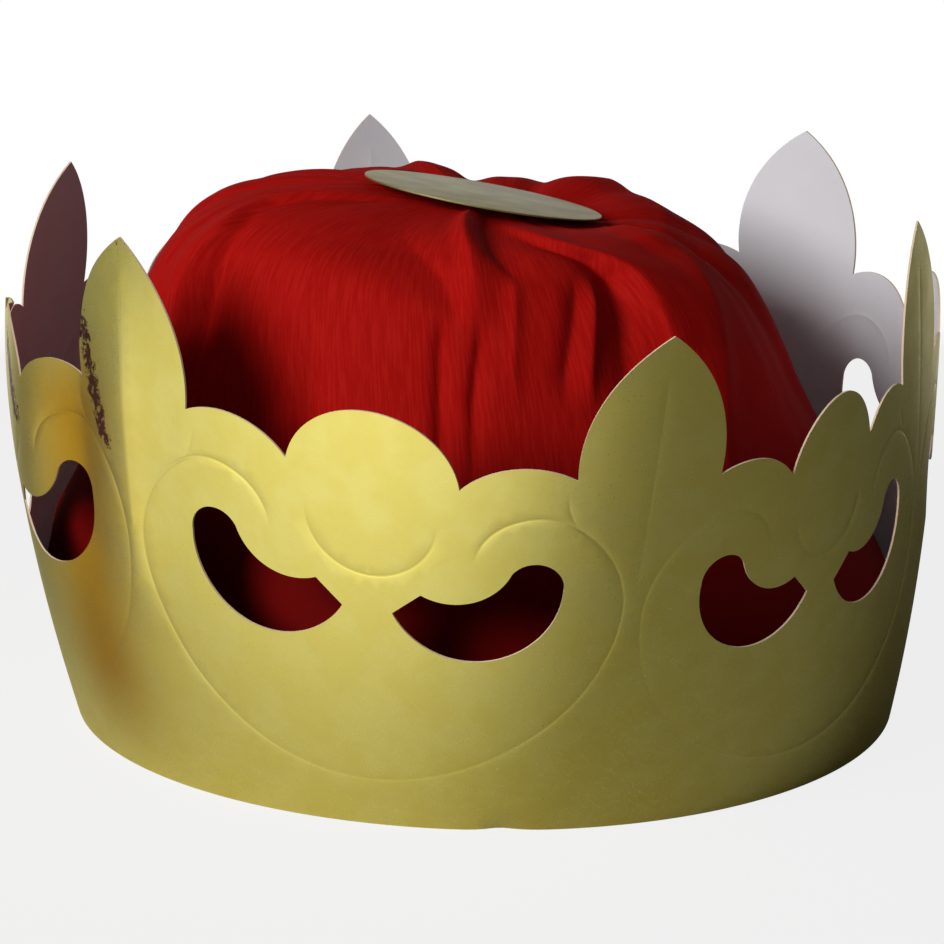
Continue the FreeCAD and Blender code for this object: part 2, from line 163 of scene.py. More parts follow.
@dataclass(frozen=True)
class Wall:
    """Bent wall of the band: one value at each petal, from the front right one round the back."""

    base_radius: tuple[float, ...] = (92.0, 93.0, 89.5, 90.0, 91.5, 87.0)
    flare_angle: tuple[float, ...] = (27.0, 13.5, 12.0, 7.5, 17.5, 13.5)
    lean_angle: tuple[float, ...] = (3.5, -11.0, -1.5, 2.0, -8.0, 0.0)
    petal_curl: tuple[float, ...] = (0.5, 1.3, 2.2, 1.3, -5.5, 1.5)
    first_angle: float = 283.0
    bow: float = 7.3
    bow_height: float = 75.0
    curl_start: float = 60.0
    curl_reach: float = 50.0
    girth_height: float = 55.0
    middle: Point = (1.565, 15.673)
    steps: int = 720

    def blend(self, values: tuple[float, ...], turn: np.ndarray) -> np.ndarray:
        """Smooth closed curve through one value at each petal.

        Args:
            values: one value at each petal.
            turn: place round the band, 0 to 1.

        Returns:
            The value at each place.
        """
        count = len(values)
        total = np.zeros_like(turn)
        for place, value in enumerate(values):
            away = turn - place / count
            away = away - np.round(away)
            away = np.where(np.abs(away) < 1e-9, 1e-9, away)
            total = total + value * np.sin(np.pi * count * away) / (count * np.tan(np.pi * away))
        return total

    def radius(self, turn: np.ndarray, height: np.ndarray) -> np.ndarray:
        """Radius of the outer face at a height up the wall."""
        flare = np.radians(self.blend(self.flare_angle, turn))
        curl = np.maximum(0.0, (height - self.curl_start) / self.curl_reach) ** 2
        straight = self.blend(self.base_radius, turn) + height * np.sin(flare)
        bowed = straight - self.bow * (height / self.bow_height) ** 2
        return bowed + self.blend(self.petal_curl, turn) * curl

    def table(self) -> tuple[np.ndarray, float]:
        """Polar angle at equal steps of card length, and the girth of the card."""
        turn = np.arange(self.steps + 1) / self.steps
        inverse = 1.0 / self.radius(turn, np.full_like(turn, self.girth_height))
        sums = np.concatenate([[0.0], np.cumsum((inverse[1:] + inverse[:-1]) / 2.0 / self.steps)])
        return 2.0 * np.pi * sums / sums[-1], 2.0 * np.pi / sums[-1]

    def angle(self, turn: np.ndarray) -> np.ndarray:
        """Polar angle at a share of the card's length."""
        angles, _ = self.table()
        whole = np.floor(turn)
        place = np.interp((turn - whole) * self.steps, np.arange(self.steps + 1), angles)
        return place + 2.0 * np.pi * whole + math.radians(self.first_angle)

    def point(self, turn: np.ndarray, height: np.ndarray, inset: np.ndarray) -> np.ndarray:
        """Points of the wall.

        Args:
            turn: share of the card's length.
            height: height up the wall, in millimetres.
            inset: distance in from the outer face, in millimetres.

        Returns:
            Rows of x, y, z in millimetres, in the frame's place.
        """
        flare = np.radians(self.blend(self.flare_angle, turn))
        lean = np.radians(self.blend(self.lean_angle, turn))
        radius = self.radius(turn, height) - inset / np.cos(flare)
        angle = self.angle(turn)
        aside = height * np.tan(lean)
        x = radius * np.cos(angle) - aside * np.sin(angle) + self.middle[0]
        y = radius * np.sin(angle) + aside * np.cos(angle) + self.middle[1]
        return np.stack([x, y, height * np.cos(flare)], axis=-1)


# Flat pattern of the card


def arc_through(start: Point, middle: Point, end: Point, step: float) -> list[Point]:
    """Points along the arc through three points.

    Args:
        start, middle, end: points of the arc.
        step: greatest distance between points.

    Returns:
        The points, both ends among them.
    """
    ax, ay = start
    bx, by = middle
    cx, cy = end
    double = 2.0 * (ax * (by - cy) + bx * (cy - ay) + cx * (ay - by))
    if abs(double) < 1e-9:
        count = max(1, math.ceil(math.dist(start, end) / step))
        return [(ax + (cx - ax) * k / count, ay + (cy - ay) * k / count) for k in range(count + 1)]
    sa, sb, sc = ax * ax + ay * ay, bx * bx + by * by, cx * cx + cy * cy
    ox = (sa * (by - cy) + sb * (cy - ay) + sc * (ay - by)) / double
    oy = (sa * (cx - bx) + sb * (ax - cx) + sc * (bx - ax)) / double
    size = math.hypot(ax - ox, ay - oy)
    first = math.atan2(ay - oy, ax - ox)
    sweep = (math.atan2(cy - oy, cx - ox) - first) % (2.0 * math.pi)
    if (math.atan2(by - oy, bx - ox) - first) % (2.0 * math.pi) > sweep:
        sweep -= 2.0 * math.pi
    count = max(2, math.ceil(abs(sweep) * size / step))
    return [
        (ox + size * math.cos(first + sweep * k / count), oy + size * math.sin(first + sweep * k / count))
        for k in range(count + 1)
    ]


def joined(*runs: list[Point]) -> list[Point]:
    """One run of points from several that meet end to end."""
    whole = list(runs[0])
    for run in runs[1:]:
        whole += run[1:]
    return whole


def bulged(start: Point, end: Point, bulge: float, step: float) -> list[Point]:
    """Arc from start to end that stands out to the left of its chord by the bulge."""
    across = (end[0] - start[0], end[1] - start[1])
    length = math.hypot(*across)
    middle = ((start[0] + end[0]) / 2.0, (start[1] + end[1]) / 2.0)
    top = (middle[0] - across[1] / length * bulge, middle[1] + across[0] / length * bulge)
    return arc_through(start, top, end, step)


@dataclass(frozen=True)
class Score:
    """One embossed line of the flat pattern, from the petal's centre line outwards."""

    points: list[Point]
    width: float = 0.55
    depth: float = 0.12
    free_end: bool = False


@dataclass(frozen=True)
class Pattern:
    """Flat pattern of half a unit: from a petal's centre line to the next lobe's centre line.

    Places are in millimetres: x from the petal's centre line, y up from the bottom edge.
    """

    pitch: float
    petal_height: float = 119.5
    petal_half_width: float = 15.1
    petal_notch_height: float = 87.5
    petal_bulge: float = 5.0
    shoulder_rise: float = 3.9
    lobe_height: float = 96.3
    lobe_half_width: float = 16.2
    lobe_notch_height: float = 82.7
    crescent_tip: Point = (5.0, 52.8)
    crescent_corner: Point = (10.4, 57.9)
    crescent_valley: Point = (19.0, 57.2)
    crescent_neck: Point = (27.4, 65.2)
    crescent_end: Point = (32.9, 67.9)
    crescent_side: Point = (37.7, 61.8)
    crescent_belly: Point = (21.8, 43.6)
    circle_height: float = 73.2
    circle_radius: float = 12.6
    step: float = 0.9
    grid: float = 2.2

    def at(self, distance: float, height: float) -> Point:
        """Place measured from the lobe's centre line."""
        return (self.pitch / 2.0 - distance, height)

    def top_edge(self) -> list[Point]:
        """Cut edge from the petal's tip down to the lobe's centre line."""
        drop = self.lobe_height - self.lobe_notch_height
        size = (self.lobe_half_width**2 + drop**2) / (2.0 * drop)
        half = math.atan2(self.lobe_half_width, size - drop) / 2.0
        lobe_middle = self.at(size * math.sin(half), self.lobe_height - size * (1.0 - math.cos(half)))
        notch = (self.petal_half_width, self.petal_notch_height)
        lobe_notch = self.at(self.lobe_half_width, self.lobe_notch_height)
        return joined(
            bulged((0.0, self.petal_height), notch, self.petal_bulge, self.step),
            bulged(notch, lobe_notch, self.shoulder_rise, self.step),
            arc_through(lobe_notch, lobe_middle, self.at(0.0, self.lobe_height), self.step),
        )

    def crescent(self) -> list[Point]:
        """Closed cut-out of the half unit."""
        tip, corner, valley, neck, end, side, belly = (
            self.at(*place)
            for place in (
                self.crescent_tip, self.crescent_corner, self.crescent_valley, self.crescent_neck,
                self.crescent_end, self.crescent_side, self.crescent_belly,
            )
        )
        return joined(
            arc_through(tip, ((tip[0] + corner[0]) / 2.0, (tip[1] + corner[1]) / 2.0), corner, self.step),
            arc_through(corner, valley, neck, self.step),
            arc_through(neck, end, side, self.step),
            arc_through(side, belly, tip, self.step),
        )[:-1]

    def scores(self) -> list[Score]:
        """Embossed lines: the circle under the lobe, the hook and swag, and the petal's scores."""
        circle = arc_through(
            self.at(self.circle_radius, self.circle_height + 0.6),
            self.at(self.circle_radius * 0.7071, self.circle_height - self.circle_radius * 0.7071),
            self.at(0.0, self.circle_height - self.circle_radius),
            self.step,
        )
        hook = joined(
            arc_through(self.at(20.0, 66.8), self.at(22.4, 73.2), self.at(28.0, 77.4), self.step),
            arc_through(self.at(28.0, 77.4), self.at(33.5, 78.4), self.at(39.3, 76.4), self.step),
            arc_through(self.at(39.3, 76.4), self.at(48.4, 66.0), self.at(50.4, 54.0), self.step),
            arc_through(self.at(50.4, 54.0), self.at(46.0, 38.4), self.at(36.0, 25.6), self.step),
            arc_through(self.at(36.0, 25.6), self.at(19.0, 15.2), self.at(0.0, 11.8), self.step),
        )
        notch = arc_through((16.4, 84.6), (15.6, 80.0), (12.5, 75.5), self.step)
        centre = [(0.0, 112.0 - 2.0 * step) for step in range(27)]
        return [Score(circle), Score(hook), Score(notch, 0.5, 0.06, True), Score(centre, 0.5, 0.05, True)]


def nearest(points: np.ndarray, run: np.ndarray) -> np.ndarray:
    """Distance of each point from a run of straight pieces.

    Args:
        points: rows of x, y.
        run: rows of x, y along the line.

    Returns:
        One distance for each point.
    """
    best = np.full(len(points), 1e9)
    for start, end in zip(run[:-1], run[1:]):
        along = end - start
        size = float(along @ along) or 1e-12
        share = np.clip(((points - start) @ along) / size, 0.0, 1.0)
        best = np.minimum(best, np.linalg.norm(points - start - share[:, None] * along, axis=1))
    return best


def inside(points: np.ndarray, loop: np.ndarray) -> np.ndarray:
    """Which points lie inside a closed loop."""
    hit = np.zeros(len(points), dtype=bool)
    x, y = points[:, 0], points[:, 1]
    for (x1, y1), (x2, y2) in zip(loop, np.roll(loop, -1, axis=0)):
        if y1 == y2:
            continue
        crosses = (y1 > y) != (y2 > y)
        hit ^= crosses & (x < (x2 - x1) * (y - y1) / (y2 - y1) + x1)
    return hit


@dataclass
class FlatCard:
    """Half a unit of card as a flat triangle mesh with its embossing."""

    pattern: Pattern
    points: np.ndarray = field(default_factory=lambda: np.zeros((0, 2)))
    faces: list = field(default_factory=list)
    depth: np.ndarray = field(default_factory=lambda: np.zeros(0))

    def outline(self) -> list[Point]:
        """Closed outline, counter-clockwise from the bottom of the petal's centre line."""
        half = self.pattern.pitch / 2.0
        rows = math.ceil(half / self.pattern.grid)
        bottom = [(half * k / rows, 0.0) for k in range(rows)]
        lobe_rows = math.ceil(self.pattern.lobe_height / self.pattern.grid)
        right = [(half, self.pattern.lobe_height * k / lobe_rows) for k in range(lobe_rows)]
        petal_rows = math.ceil(self.pattern.petal_height / self.pattern.grid)
        left = [(0.0, self.pattern.petal_height * (1.0 - k / petal_rows)) for k in range(petal_rows)]
        return bottom + right + self.pattern.top_edge()[::-1][:-1] + left

    def ribbon(self, score: Score) -> list[np.ndarray]:
        """Runs side by side along a score, which carry its cross-section."""
        run = np.array(score.points)
        along = np.gradient(run, axis=0)
        along /= np.linalg.norm(along, axis=1)[:, None]
        aside = np.stack([-along[:, 1], along[:, 0]], axis=1)
        return [run + aside * score.width * share for share in (-1.0, -0.5, 0.0, 0.5, 1.0)]

    def build(self) -> None:
        """Triangulates the card between its cut edges and embossed lines."""
        half = self.pattern.pitch / 2.0
        outline = np.array(self.outline())
        hole = np.array(self.pattern.crescent())
        scores = self.pattern.scores()
        points: list[Point] = []
        edges: list[tuple[int, int]] = []

        def add_run(run: np.ndarray, closed: bool) -> None:
            first = len(points)
            points.extend((float(x), float(y)) for x, y in run)
            edges.extend((first + k, first + k + 1) for k in range(len(run) - 1))
            if closed:
                edges.append((first + len(run) - 1, first))

        add_run(outline, True)
        add_run(hole, True)
        guards = [np.vstack([outline, outline[:1]]), np.vstack([hole, hole[:1]])]
        for score in scores:
            guards.append(np.array(score.points))
            for run in self.ribbon(score):
                kept = run[(run[:, 0] > 0.05) & (run[:, 0] < half - 0.02)]
                if abs(run[-1, 0] - half) < 1.0:
                    kept = np.vstack([kept, [half, run[-1, 1]]])
                add_run(kept, False)
        step = self.pattern.grid
        grid = []
        for row in range(1, int(self.pattern.petal_height / (step * 0.866))):
            shift = 0.5 * step if row % 2 else 0.0
            grid += [(x, row * step * 0.866) for x in np.arange(step + shift, half - 0.6 * step, step)]
        cloud = np.array(grid)
        keep = inside(cloud, outline) & ~inside(cloud, hole)
        for guard, score in zip(guards, [None, None] + scores):
            room = 0.55 * step if score is None else score.width + 0.7
            keep &= nearest(cloud, guard) > room
        points.extend((float(x), float(y)) for x, y in cloud[keep])
        result = delaunay_2d_cdt([Vector(p) for p in points], edges, [], 0, 1e-5)
        flat = np.array([(p.x, p.y) for p in result[0]])
        triangles = np.array([face for face in result[2] if len(face) == 3])
        centres = flat[triangles].mean(axis=1)
        a, b, c = (flat[triangles[:, k]] for k in range(3))
        area = (b[:, 0] - a[:, 0]) * (c[:, 1] - a[:, 1]) - (b[:, 1] - a[:, 1]) * (c[:, 0] - a[:, 0])
        good = inside(centres, outline) & ~inside(centres, hole) & (np.abs(area) > 1e-7)
        triangles = np.where(area[:, None] > 0, triangles, triangles[:, ::-1])[good]
        used = np.unique(triangles)
        number = np.full(len(flat), -1)
        number[used] = np.arange(len(used))
        self.points = flat[used]
        self.faces = number[triangles].tolist()
        depth = np.zeros(len(used))
        for score in scores:
            run = np.array(score.points)
            share = 1.0 - nearest(self.points, run) / score.width
            ends = np.minimum(1.0, np.linalg.norm(self.points - run[0], axis=1) / 5.0)
            if score.free_end:
                ends = np.minimum(ends, np.linalg.norm(self.points - run[-1], axis=1) / 5.0)
            depth = np.maximum(depth, smooth_step(share) * score.depth * ends)
        self.depth = depth


# Shader building blocks


class Nodes:
    """Short hand for building the nodes of one tree."""

    def __init__(self, tree: bpy.types.NodeTree) -> None:
        """Keeps the tree that nodes go into."""
        self.tree = tree

    def add(self, kind: str, **values: object) -> bpy.types.Node:
        """New node with settings and input values.

        Args:
            kind: the node's type name.
            values: settings by attribute name, or inputs by name with spaces as underscores.

        Returns:
            The node.
        """
        node = self.tree.nodes.new(kind)
        for key, value in values.items():
            if hasattr(node, key) and key not in ("inputs", "outputs"):
                setattr(node, key, value)
                continue
            numbered = key[0] == "i" and key[1:].isdigit()
            socket = node.inputs[int(key[1:]) if numbered else key.replace("_", " ")]
            if isinstance(value, bpy.types.NodeSocket):
                self.tree.links.new(value, socket)
            else:
                socket.default_value = value
        return node

    def link(self, start: bpy.types.NodeSocket, end: bpy.types.NodeSocket) -> None:
        """Joins two sockets."""
        self.tree.links.new(start, end)

    def maths(
        self, operation: str, first: object, second: object = 0.0, third: object = 0.0
    ) -> bpy.types.NodeSocket:
        """Output of a math node."""
        return self.add("ShaderNodeMath", operation=operation, i0=first, i1=second, i2=third).outputs[0]

    def blend(self, share: object, first: object, second: object) -> bpy.types.NodeSocket:
        """Output of a colour mix."""
        node = self.add("ShaderNodeMix", data_type="RGBA")
        for place, value in ((0, share), (6, first), (7, second)):
            if isinstance(value, bpy.types.NodeSocket):
                self.link(value, node.inputs[place])
            else:
                node.inputs[place].default_value = value
        return node.outputs[2]

    def ramp(self, share: bpy.types.NodeSocket, low: float, high: float) -> bpy.types.NodeSocket:
        """Share eased from 0 at low to 1 at high."""
        return self.add(
            "ShaderNodeMapRange", interpolation_type="SMOOTHSTEP", Value=share, From_Min=low, From_Max=high
        ).outputs[0]


def effect_group(name: str, inputs: dict[str, tuple[str, object]], outputs: dict[str, str]) -> tuple:
    """Empty node group with named sockets.

    Args:
        name: name of the group.
        inputs: socket type and default value by name.
        outputs: socket type by name.

    Returns:
        The group, its Nodes helper, its input node and its output node.
    """
    group = bpy.data.node_groups.new(name, "ShaderNodeTree")
    for label, (kind, value) in inputs.items():
        socket = group.interface.new_socket(label, in_out="INPUT", socket_type=kind)
        if value is not None:
            socket.default_value = value
    for label, kind in outputs.items():
        group.interface.new_socket(label, in_out="OUTPUT", socket_type=kind)
    nodes = Nodes(group)
    return group, nodes, nodes.add("NodeGroupInput"), nodes.add("NodeGroupOutput")


def card_unevenness() -> bpy.types.NodeTree:
    """Slow waves and fine grain of card, as a height and a mask."""
    group, nodes, given, out = effect_group(
        "Card unevenness",
        {
            "Vector": ("NodeSocketVector", None), "Wave size": ("NodeSocketFloat", 40.0),
            "Grain size": ("NodeSocketFloat", 900.0), "Grain": ("NodeSocketFloat", 0.2),
        },
        {"Height": "NodeSocketFloat", "Mottle": "NodeSocketFloat"},
    )
    place, waves, grains = (given.outputs[name] for name in ("Vector", "Wave size", "Grain size"))
    slow = nodes.add("ShaderNodeTexNoise", Vector=place, Scale=waves, Detail=2.0)
    fine = nodes.add("ShaderNodeTexNoise", Vector=place, Scale=grains, Detail=3.0)
    grain = nodes.maths("MULTIPLY", fine.outputs[0], given.outputs["Grain"])
    nodes.link(nodes.maths("ADD", slow.outputs[0], grain), out.inputs["Height"])
    nodes.link(slow.outputs[0], out.inputs["Mottle"])
    return group


def crinkle() -> bpy.types.NodeTree:
    """Crepe crinkle: short uneven ridges along the sheet's own V direction."""
    group, nodes, given, out = effect_group(
        "Crepe crinkle",
        {
            "Vector": ("NodeSocketVector", None), "Across": ("NodeSocketFloat", 1100.0),
            "Along": ("NodeSocketFloat", 110.0),
        },
        {"Height": "NodeSocketFloat", "Mask": "NodeSocketFloat"},
    )
    stretch = nodes.add("ShaderNodeCombineXYZ", X=given.outputs["Across"], Y=given.outputs["Along"], Z=1.0)
    flat = given.outputs["Vector"]
    scaled = nodes.add("ShaderNodeVectorMath", operation="MULTIPLY", i0=flat, i1=stretch.outputs[0])
    ridges = nodes.add("ShaderNodeTexNoise", Vector=scaled.outputs[0], Scale=1.0, Detail=3.0, Roughness=0.6)
    wide = nodes.add("ShaderNodeVectorMath", operation="MULTIPLY", i0=scaled.outputs[0], i1=(0.28, 0.4, 1.0))
    broad = nodes.add("ShaderNodeTexNoise", Vector=wide.outputs[0], Scale=1.0, Detail=2.0)
    both = nodes.maths("ADD", ridges.outputs[0], nodes.maths("MULTIPLY", broad.outputs[0], 0.9))
    nodes.link(both, out.inputs["Height"])
    nodes.link(nodes.ramp(ridges.outputs[0], 0.38, 0.66), out.inputs["Mask"])
    return group


def studio_sides() -> bpy.types.NodeTree:
    """How white the studio is to reflections in a direction: behind, where the backdrop stands, and at the
    front left, where the white is a painted reflection with no lamp behind it.
    """
    group, nodes, given, out = effect_group(
        "Studio sides", {"Vector": ("NodeSocketVector", None)},
        {"Backdrop": "NodeSocketFloat", "Front left": "NodeSocketFloat"},
    )
    way = given.outputs["Vector"]
    level = nodes.add("ShaderNodeVectorMath", operation="MULTIPLY", i0=way, i1=(1.0, 1.0, 0.0))
    unit = nodes.add("ShaderNodeVectorMath", operation="NORMALIZE", i0=level.outputs[0])
    parts = nodes.add("ShaderNodeSeparateXYZ", Vector=unit.outputs[0])
    nodes.link(nodes.ramp(parts.outputs["Y"], 0.6, 0.95), out.inputs["Backdrop"])
    front_left = nodes.add(
        "ShaderNodeVectorMath", operation="DOT_PRODUCT", i0=unit.outputs[0], i1=(-0.766, -0.643, 0.0)
    )
    nodes.link(nodes.ramp(front_left.outputs["Value"], 0.4, 1.05), out.inputs["Front left"])
    return group


EffectBuilder = Callable[[], bpy.types.NodeTree]


class Effects:
    """Node groups that several materials use, each built once."""

    _built: dict[str, bpy.types.NodeTree] = {}

    @classmethod
    def get(cls, builder: EffectBuilder) -> bpy.types.NodeTree:
        """The group that a builder makes, built on first use."""
        if builder.__name__ not in cls._built:
            cls._built[builder.__name__] = builder()
        return cls._built[builder.__name__]


def new_material(name: str) -> tuple[bpy.types.Material, Nodes, bpy.types.Node]:
    """Empty material with a Principled shader.

    Args:
        name: name of the finish.

    Returns:
        The material, its Nodes helper and its shader node.
    """
    material = bpy.data.materials.new(name)
    material.use_nodes = True
    nodes = Nodes(material.node_tree)
    nodes.tree.nodes.clear()
    out = nodes.add("ShaderNodeOutputMaterial")
    shader = nodes.add("ShaderNodeBsdfPrincipled")
    nodes.link(shader.outputs[0], out.inputs[0])
    return material, nodes, shader


@dataclass(frozen=True)
class GoldFoil:
    """Satin gold foil on card, a little uneven, with fine sparkle, and with painted reflections where the
    band's attributes place them.
    """

    name: str = "gold_foil"
    light: Colour = srgb(245, 231, 128)
    deep: Colour = srgb(241, 225, 117)
    metallic: float = 1.0
    # The bent colour is a painted reflection: golden brown where the foil left of the crease mirrors dark
    # surroundings.
    bent: Colour = srgb(206, 158, 34)
    # The next colour is a painted reflection too: dark maroon where the foil mirrors the red crepe and dark
    # surroundings.
    maroon_reflection: Colour = srgb(104, 34, 18)
    roughness: float = 0.36
    bump: float = 0.05

    def build(self) -> bpy.types.Material:
        """The foil as a material."""
        material, nodes, shader = new_material(self.name)
        place = nodes.add("ShaderNodeTexCoord").outputs["Object"]
        uneven = nodes.add("ShaderNodeGroup", node_tree=Effects.get(card_unevenness))
        nodes.link(place, uneven.inputs["Vector"])
        uneven.inputs["Wave size"].default_value = 120.0
        uneven.inputs["Grain size"].default_value = 1500.0
        uneven.inputs["Grain"].default_value = 0.12
        grain = nodes.add("ShaderNodeTexNoise", Vector=place, Scale=2600.0, Detail=1.0)
        colour = nodes.blend(nodes.ramp(uneven.outputs["Mottle"], 0.35, 0.65), self.light, self.deep)
        # Painted reflections placed by the band's attributes: golden brown left of the crease, then dark
        # maroon streaks.
        bent = nodes.add("ShaderNodeAttribute", attribute_name="bent").outputs["Fac"]
        maroon_reflection = nodes.add("ShaderNodeAttribute", attribute_name="maroon_reflection").outputs["Fac"]
        flecks = nodes.add("ShaderNodeTexNoise", Vector=place, Scale=420.0, Detail=5.0, Roughness=0.75)
        # The dark maroon painted reflection: its streaks get ragged edges from the flecks.
        patch = nodes.ramp(nodes.maths("MULTIPLY_ADD", maroon_reflection, 0.4, flecks.outputs[0]), 0.76, 0.84)
        colour = nodes.blend(patch, nodes.blend(bent, colour, self.bent), self.maroon_reflection)
        nodes.link(colour, shader.inputs["Base Color"])
        shader.inputs["Metallic"].default_value = self.metallic
        spark = nodes.maths("MULTIPLY", nodes.ramp(grain.outputs[0], 0.66, 0.74), -0.16)
        rough = nodes.add("ShaderNodeMapRange", Value=uneven.outputs["Mottle"], From_Min=0.3, From_Max=0.7)
        rough.inputs["To Min"].default_value = self.roughness - 0.02
        rough.inputs["To Max"].default_value = self.roughness + 0.03
        nodes.link(nodes.maths("ADD", rough.outputs[0], spark), shader.inputs["Roughness"])
        height = uneven.outputs["Height"]
        bump = nodes.add("ShaderNodeBump", Strength=self.bump, Distance=0.0015, Height=height)
        nodes.link(bump.outputs[0], shader.inputs["Normal"])
        return material


@dataclass(frozen=True)
class PlainCard:
    """Uncoated face or cut edge of the card."""

    name: str = "white_card"
    colour: Colour = srgb(232, 231, 234)
    shade: Colour = srgb(222, 221, 226)
    roughness: float = 0.75

    def build(self) -> bpy.types.Material:
        """The card as a material."""
        material, nodes, shader = new_material(self.name)
        place = nodes.add("ShaderNodeTexCoord").outputs["Object"]
        uneven = nodes.add("ShaderNodeGroup", node_tree=Effects.get(card_unevenness))
        nodes.link(place, uneven.inputs["Vector"])
        uneven.inputs["Wave size"].default_value = 60.0
        uneven.inputs["Grain size"].default_value = 1400.0
        uneven.inputs["Grain"].default_value = 0.5
        paper = nodes.blend(uneven.outputs["Mottle"], self.colour, self.shade)
        nodes.link(paper, shader.inputs["Base Color"])
        shader.inputs["Roughness"].default_value = self.roughness
        shader.inputs["Specular IOR Level"].default_value = 0.3
        bump = nodes.add("ShaderNodeBump", Strength=0.08, Distance=0.0006, Height=uneven.outputs["Height"])
        nodes.link(bump.outputs[0], shader.inputs["Normal"])
        return material


def card_finishes(face: bpy.types.Material | None, name: str) -> list[bpy.types.Material]:
    """Outer face, inner face and cut edge of a card piece.

    Args:
        face: finish of the outer face, or none for plain card.
        name: start of the plain finishes' names.

    Returns:
        The three materials in slot order.
    """
    outer = face or PlainCard(f"{name}_card").build()
    inner = PlainCard("white_card" if face else f"{name}_inner").build()
    edge = PlainCard(f"{name}_edge", srgb(238, 214, 186), srgb(226, 196, 160), 0.7).build()
    return [outer, inner, edge]


@dataclass(frozen=True)
class RedCrepe:
    """Deep red crepe paper with a fine crinkle, painted shade in the crinkle's grooves and painted shadow low
    on the sheet.
    """

    name: str = "red_crepe_paper"
    ridge: Colour = srgb(174, 23, 17)
    # The groove colour is painted shade in the crinkle's grooves.
    groove_shade: Colour = srgb(161, 14, 10)
    # The hem colour is painted shadow of the band: the sheet is darkest near the hem and fades to its own red
    # between these lengths up the sheet, in metres.
    hem_shadow: Colour = srgb(96, 6, 5)
    hem_shadow_reach: tuple[float, float] = (0.045, 0.088)
    roughness: float = 0.8

    def build(self) -> bpy.types.Material:
        """The crepe as a material."""
        material, nodes, shader = new_material(self.name)
        flat = nodes.add("ShaderNodeUVMap", uv_map="sheet").outputs[0]
        folds = nodes.add("ShaderNodeGroup", node_tree=Effects.get(crinkle))
        nodes.link(flat, folds.inputs["Vector"])
        # Painted shade: the colour darkens where the crinkle's height dips.
        paper = nodes.blend(folds.outputs["Mask"], self.groove_shade, self.ridge)
        length = nodes.add("ShaderNodeSeparateXYZ", Vector=flat).outputs["Y"]
        # Painted shadow of the band: darkest low on the sheet near the hem.
        colour = nodes.blend(nodes.ramp(length, *self.hem_shadow_reach), self.hem_shadow, paper)
        nodes.link(colour, shader.inputs["Base Color"])
        shader.inputs["Roughness"].default_value = self.roughness
        shader.inputs["Specular IOR Level"].default_value = 0.03
        bump = nodes.add("ShaderNodeBump", Strength=0.18, Distance=0.0005, Height=folds.outputs["Height"])
        nodes.link(bump.outputs[0], shader.inputs["Normal"])
        return material


# The pieces


@dataclass(frozen=True)
class ReflectionStreak:
    """Slanting streak of painted dark maroon reflection on the foil: heights, foot from the petal's centre,
    slant and reach.
    """

    low: float
    high: float
    foot: float
    slant: float
    reach: float


# Streaks of painted dark maroon reflection left of the dented petal's crease.
REFLECTION_STREAKS = (ReflectionStreak(68.0, 108.0, -5.5, -0.27, 3.6), ReflectionStreak(66.0, 98.0, -39.0, -0.35, 4.2))

BAND_DENTS = (
    Fold("crease down the front left petal", (
        (34, 0, 0, 10, 5), (46, 0, 1.1, 10, 5), (62, 0, 1.5, 11, 5), (85, 0, 1.5, 12, 6), (104, 0, 0.8, 9, 6),
        (116, 0, 0, 8, 6),
    ), 1.1),
    Fold("valley left of the crease", (
        (36, -15, 0, 9, 8), (50, -16, -0.9, 9, 8), (75, -17, -1.6, 9, 8), (100, -15, -0.8, 8, 8),
        (112, -12, 0, 8, 8),
    ), 1.6),
    Fold("bulge round the left crescent", (
        (8, -37, 0, 16, 14), (30, -37, 1.4, 16, 14), (60, -37, 2.9, 16, 14), (96, -37, 2.4, 16, 14),
    ), 2.0),
    Fold("dent in the bottom edge", (
        (0, 84.5, -1.5, 4, 5), (1.8, 84.5, -0.8, 4, 5), (3.6, 84.5, 0, 5, 6),
    ), 1.5),
)


